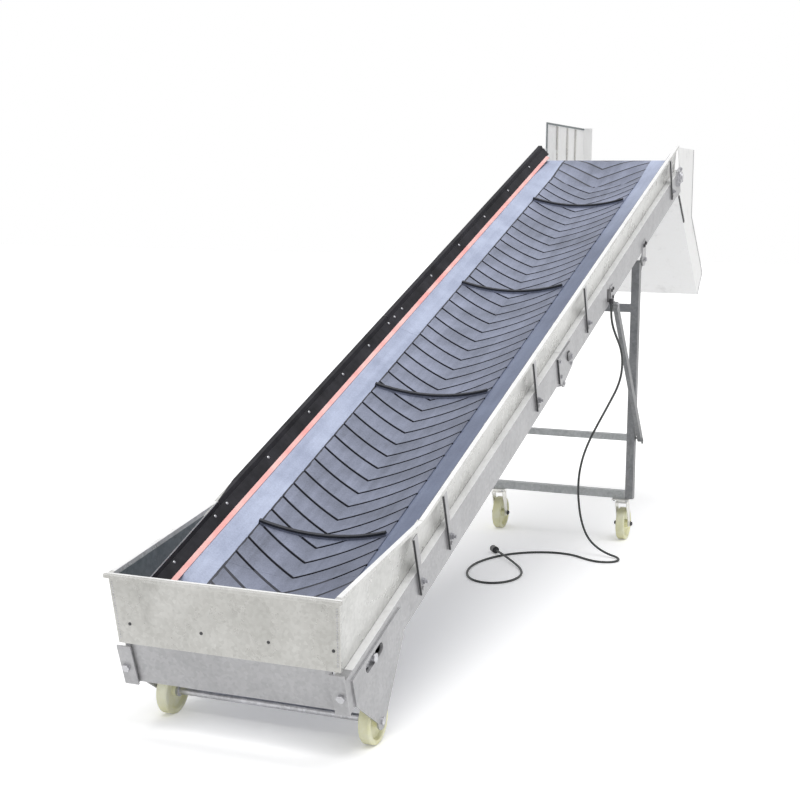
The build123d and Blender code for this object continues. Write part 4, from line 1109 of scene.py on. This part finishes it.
# The hem's edging grows from the inner edge to its full width over its first stretch:
# x = inner + (x - inner) share, and there it lies down on its bed
def makeEdgings():
    profile = np.array(edgingSet["profile"])
    least, nearly = edgingSet["taperShares"]
    inner = hopperSet["hem"]
    for run in edgingSet["runs"]:
        start, taper = run["start"], run["taper"]
        rest = np.linspace(start + taper, run["end"], edgingSet["rows"])
        s = np.concatenate([[start, start + nearly * taper], rest])[:, None]
        share = np.clip((s - start) / taper, least, 1)
        outside = profile[:, 0] > inner
        x = np.where(outside, inner + (profile[:, 0] - inner) * share, profile[:, 0])
        n = np.where(outside & (share < 1), np.maximum(profile[:, 1], edgingSet["bed"]), profile[:, 1])
        body = run["body"]
        grid = onConveyor(-x, s, n)
        gridPiece(f"{body}_edging", grid, materials["sealRubber"], body, smooth=False)


makeEdgings()
makeHopperStrips()

# Painted highlights on the right hem, the hopper's sides and rim and the ledges of the
# rails: thin pale caps on their upward faces, closed strips of four corners, x and n, along s, straight
# or with the flare
capSet = {
    "thick": 0.0008,
    "lift": 0.0001,
    "hem": (0.3832, 0.4002),
    "ledge": (0.3690, 0.3958),
    "ledgeHeight": -0.1408,
    "ledgeStart": {"lower_section": 0.02, "upper_section": 2.2915},
    "rows": 20,
    "hopperRun": (0.016, 0.668),
    "hopperRows": 12,
    "rim": (-0.0142, 0.0002),
    "rimHalf": 0.4118,
    "rimTop": 0.1312,
}


def capStrip(name, body, side, s, inner, outer, n):
    s, inner, outer, n = np.broadcast_arrays(*(np.asarray(v, float) for v in (s, inner, outer, n)))
    x = side * np.stack([inner, outer, outer, inner], -1)
    high = n + capSet["thick"]
    grid = onConveyor(x, s[:, None], np.stack([n, n, high, high], -1))
    gridPiece(name, grid, materials["paintedHighlightSteel"], body, smooth=False)


def makeCaps():
    inner, outer = capSet["hem"]
    for run in edgingSet["runs"]:
        body, end = run["body"], run["end"]
        s = np.linspace(run["start"], end, capSet["rows"])
        capStrip(f"{body}_hem_highlight_cap", body, 1, s, inner, outer, capSet["lift"])
        s = np.linspace(capSet["ledgeStart"][body], end, capSet["rows"])
        for side, word in bothSides:
            capStrip(f"{body}_ledge_highlight_cap_{word}", body, side, s, *capSet["ledge"], capSet["ledgeHeight"])
    s = np.linspace(*capSet["hopperRun"], capSet["hopperRows"])
    flare = hopperSet["flare"] * flareShare(s)
    top = gauge["hopperRise"] * flareShare(s) + capSet["lift"]
    for side, word in bothSides:
        capStrip(f"hopper_highlight_cap_{word}", "lower_section", side, s, inner + flare, outer + flare, top)
    half = capSet["rimHalf"]
    capStrip("hopper_rim_highlight_cap", "lower_section", 1, capSet["rim"], -half, half, capSet["rimTop"])


makeCaps()
print("stage: seals")

# Head: folded borders and a dark strip on the chute's walls, ribs and dark edges on the
# guard; places are y from the hopper's front and z, and each profile is a flat bar's
headSet = {
    "borders": (
        ((5.1165, 1.3290), (4.7599, 1.6630)),
        ((4.7599, 1.6630), (4.7599, 2.0398)),
        ((5.0000, 1.2052), (5.1160, 1.3288)),
    ),
    "border": flat(0.012, 0.0015),
    "strip": ((4.4000, 1.7750), (4.5500, 1.6340)),
    "stripBar": flat(0.014, 0.006),
    "wallHalf": 0.3960,
    "guardFoot": 1.905,
    "guardTop": 2.1895,
    "guardStart": 4.4800,
    "guardEnd": 5.2560,
    "ribs": (4.6900, 4.9000, 5.0700),
    "rib": flat(0.020, 0.006),
    "ribUnderTop": 0.014,
    "topEdge": flat(0.010, 0.003),
    "topEdgeUnder": 0.006,
    "sideEdge": flat(0.018, 0.004),
    "sideEdgeAt": 0.010,
    "sideEdgeUnder": 0.012,
}


# A flat bar on a wall of the chute, along a line that is given by its two ends
def chuteTrim(name, side, line, profile, finish):
    starts, ends = ([(side * headSet["wallHalf"], gauge["frontSide"] + y, z)] for y, z in line)
    run = np.subtract(ends, starts)[0]
    outwards = side * widthWay
    across = np.cross(run / np.linalg.norm(run), outwards)
    barsAt(name, "upper_section", starts, ends, profile, across, outwards, finish)


# Flat bars on the guard's inner face, between places in y and z
def guardTrim(name, starts, ends, profile, sideways, finish):
    x, front = -headSet["wallHalf"], gauge["frontSide"]
    first, last = ([(x, front + y, z) for y, z in row] for row in (starts, ends))
    barsAt(name, "upper_section", first, last, profile, sideways, widthWay, finish)


def makeHeadTrim():
    for side, word in bothSides:
        for number, line in enumerate(headSet["borders"]):
            name = f"chute_border_{number}_{word}"
            chuteTrim(name, side, line, headSet["border"], "railSteel")
    chuteTrim("chute_side_strip", 1, headSet["strip"], headSet["stripBar"], "darkSteelAndShade")
    upright, level = np.array((0, 0, 1.0)), np.array((0, 1.0, 0))
    foot, top = headSet["guardFoot"], headSet["guardTop"]
    starts = [(y, foot) for y in headSet["ribs"]]
    ends = [(y, top - headSet["ribUnderTop"]) for y in headSet["ribs"]]
    guardTrim("guard_ribs", starts, ends, headSet["rib"], level, "sheetSteel")
    z = top - headSet["topEdgeUnder"]
    starts, ends = [(headSet["guardStart"], z)], [(headSet["guardEnd"], z)]
    guardTrim("guard_top_edge", starts, ends, headSet["topEdge"], upright, "linerSteel")
    y = headSet["guardStart"] + headSet["sideEdgeAt"]
    starts, ends = [(y, foot)], [(y, top - headSet["sideEdgeUnder"])]
    guardTrim("guard_side_edge", starts, ends, headSet["sideEdge"], level, "linerSteel")


makeHeadTrim()
print("stage: head trim")

# Floor and light
lightSet = {
    "floor": 0.98,
    "floorHalf": 40.0,
    "floorRough": 0.9,
    "floorLift": 0.24,
    "world": 0.40,
    "sun": {"from": (0.12, -0.20, 1.0), "strength": 2.15, "angle": radians(50)},
}


# One for rays from the camera or through gloss and glass, nought for the part's light
def seenOn(tree):
    paths = addNode(tree, "ShaderNodeLightPath")
    seen = mathOn(tree, "MAXIMUM", paths.outputs["Is Camera Ray"], paths.outputs["Is Glossy Ray"])
    return mathOn(tree, "MAXIMUM", seen, paths.outputs["Is Transmission Ray"])


def makeStage():
    size = lightSet["floorHalf"]
    mesh = bpy.data.meshes.new("floor")
    corners = [(-size, -size, 0), (size, -size, 0), (size, size, 0), (-size, size, 0)]
    mesh.from_pydata(corners, [], [(0, 1, 2, 3)])
    floor = bpy.data.objects.new("floor", mesh)
    bpy.context.scene.collection.objects.link(floor)
    material, tree, shader = newMaterial("floorPaint")
    shader.inputs["Base Color"].default_value = (lightSet["floor"],) * 3 + (1,)
    shader.inputs["Roughness"].default_value = lightSet["floorRough"]
    shader.inputs["Emission Color"].default_value = (1, 1, 1, 1)
    lift = mathOn(tree, "MULTIPLY", seenOn(tree), lightSet["floorLift"])
    tree.links.new(lift, shader.inputs["Emission Strength"])
    mesh.materials.append(material)
    world = bpy.data.worlds.new("studio")
    world.use_nodes = True
    bpy.context.scene.world = world
    tree = world.node_tree
    strength = mathOn(tree, "MULTIPLY_ADD", seenOn(tree), 1.0 - lightSet["world"], lightSet["world"])
    background = tree.nodes["Background"]
    background.inputs["Color"].default_value = (1, 1, 1, 1)
    tree.links.new(strength, background.inputs["Strength"])
    sun = bpy.data.lights.new("sky", "SUN")
    sun.energy = lightSet["sun"]["strength"]
    sun.angle = lightSet["sun"]["angle"]
    light = bpy.data.objects.new("sky", sun)
    light.matrix_world = Vector(lightSet["sun"]["from"]).to_track_quat("Z", "Y").to_matrix().to_4x4()
    bpy.context.scene.collection.objects.link(light)


makeStage()
print("stage: floor and light")
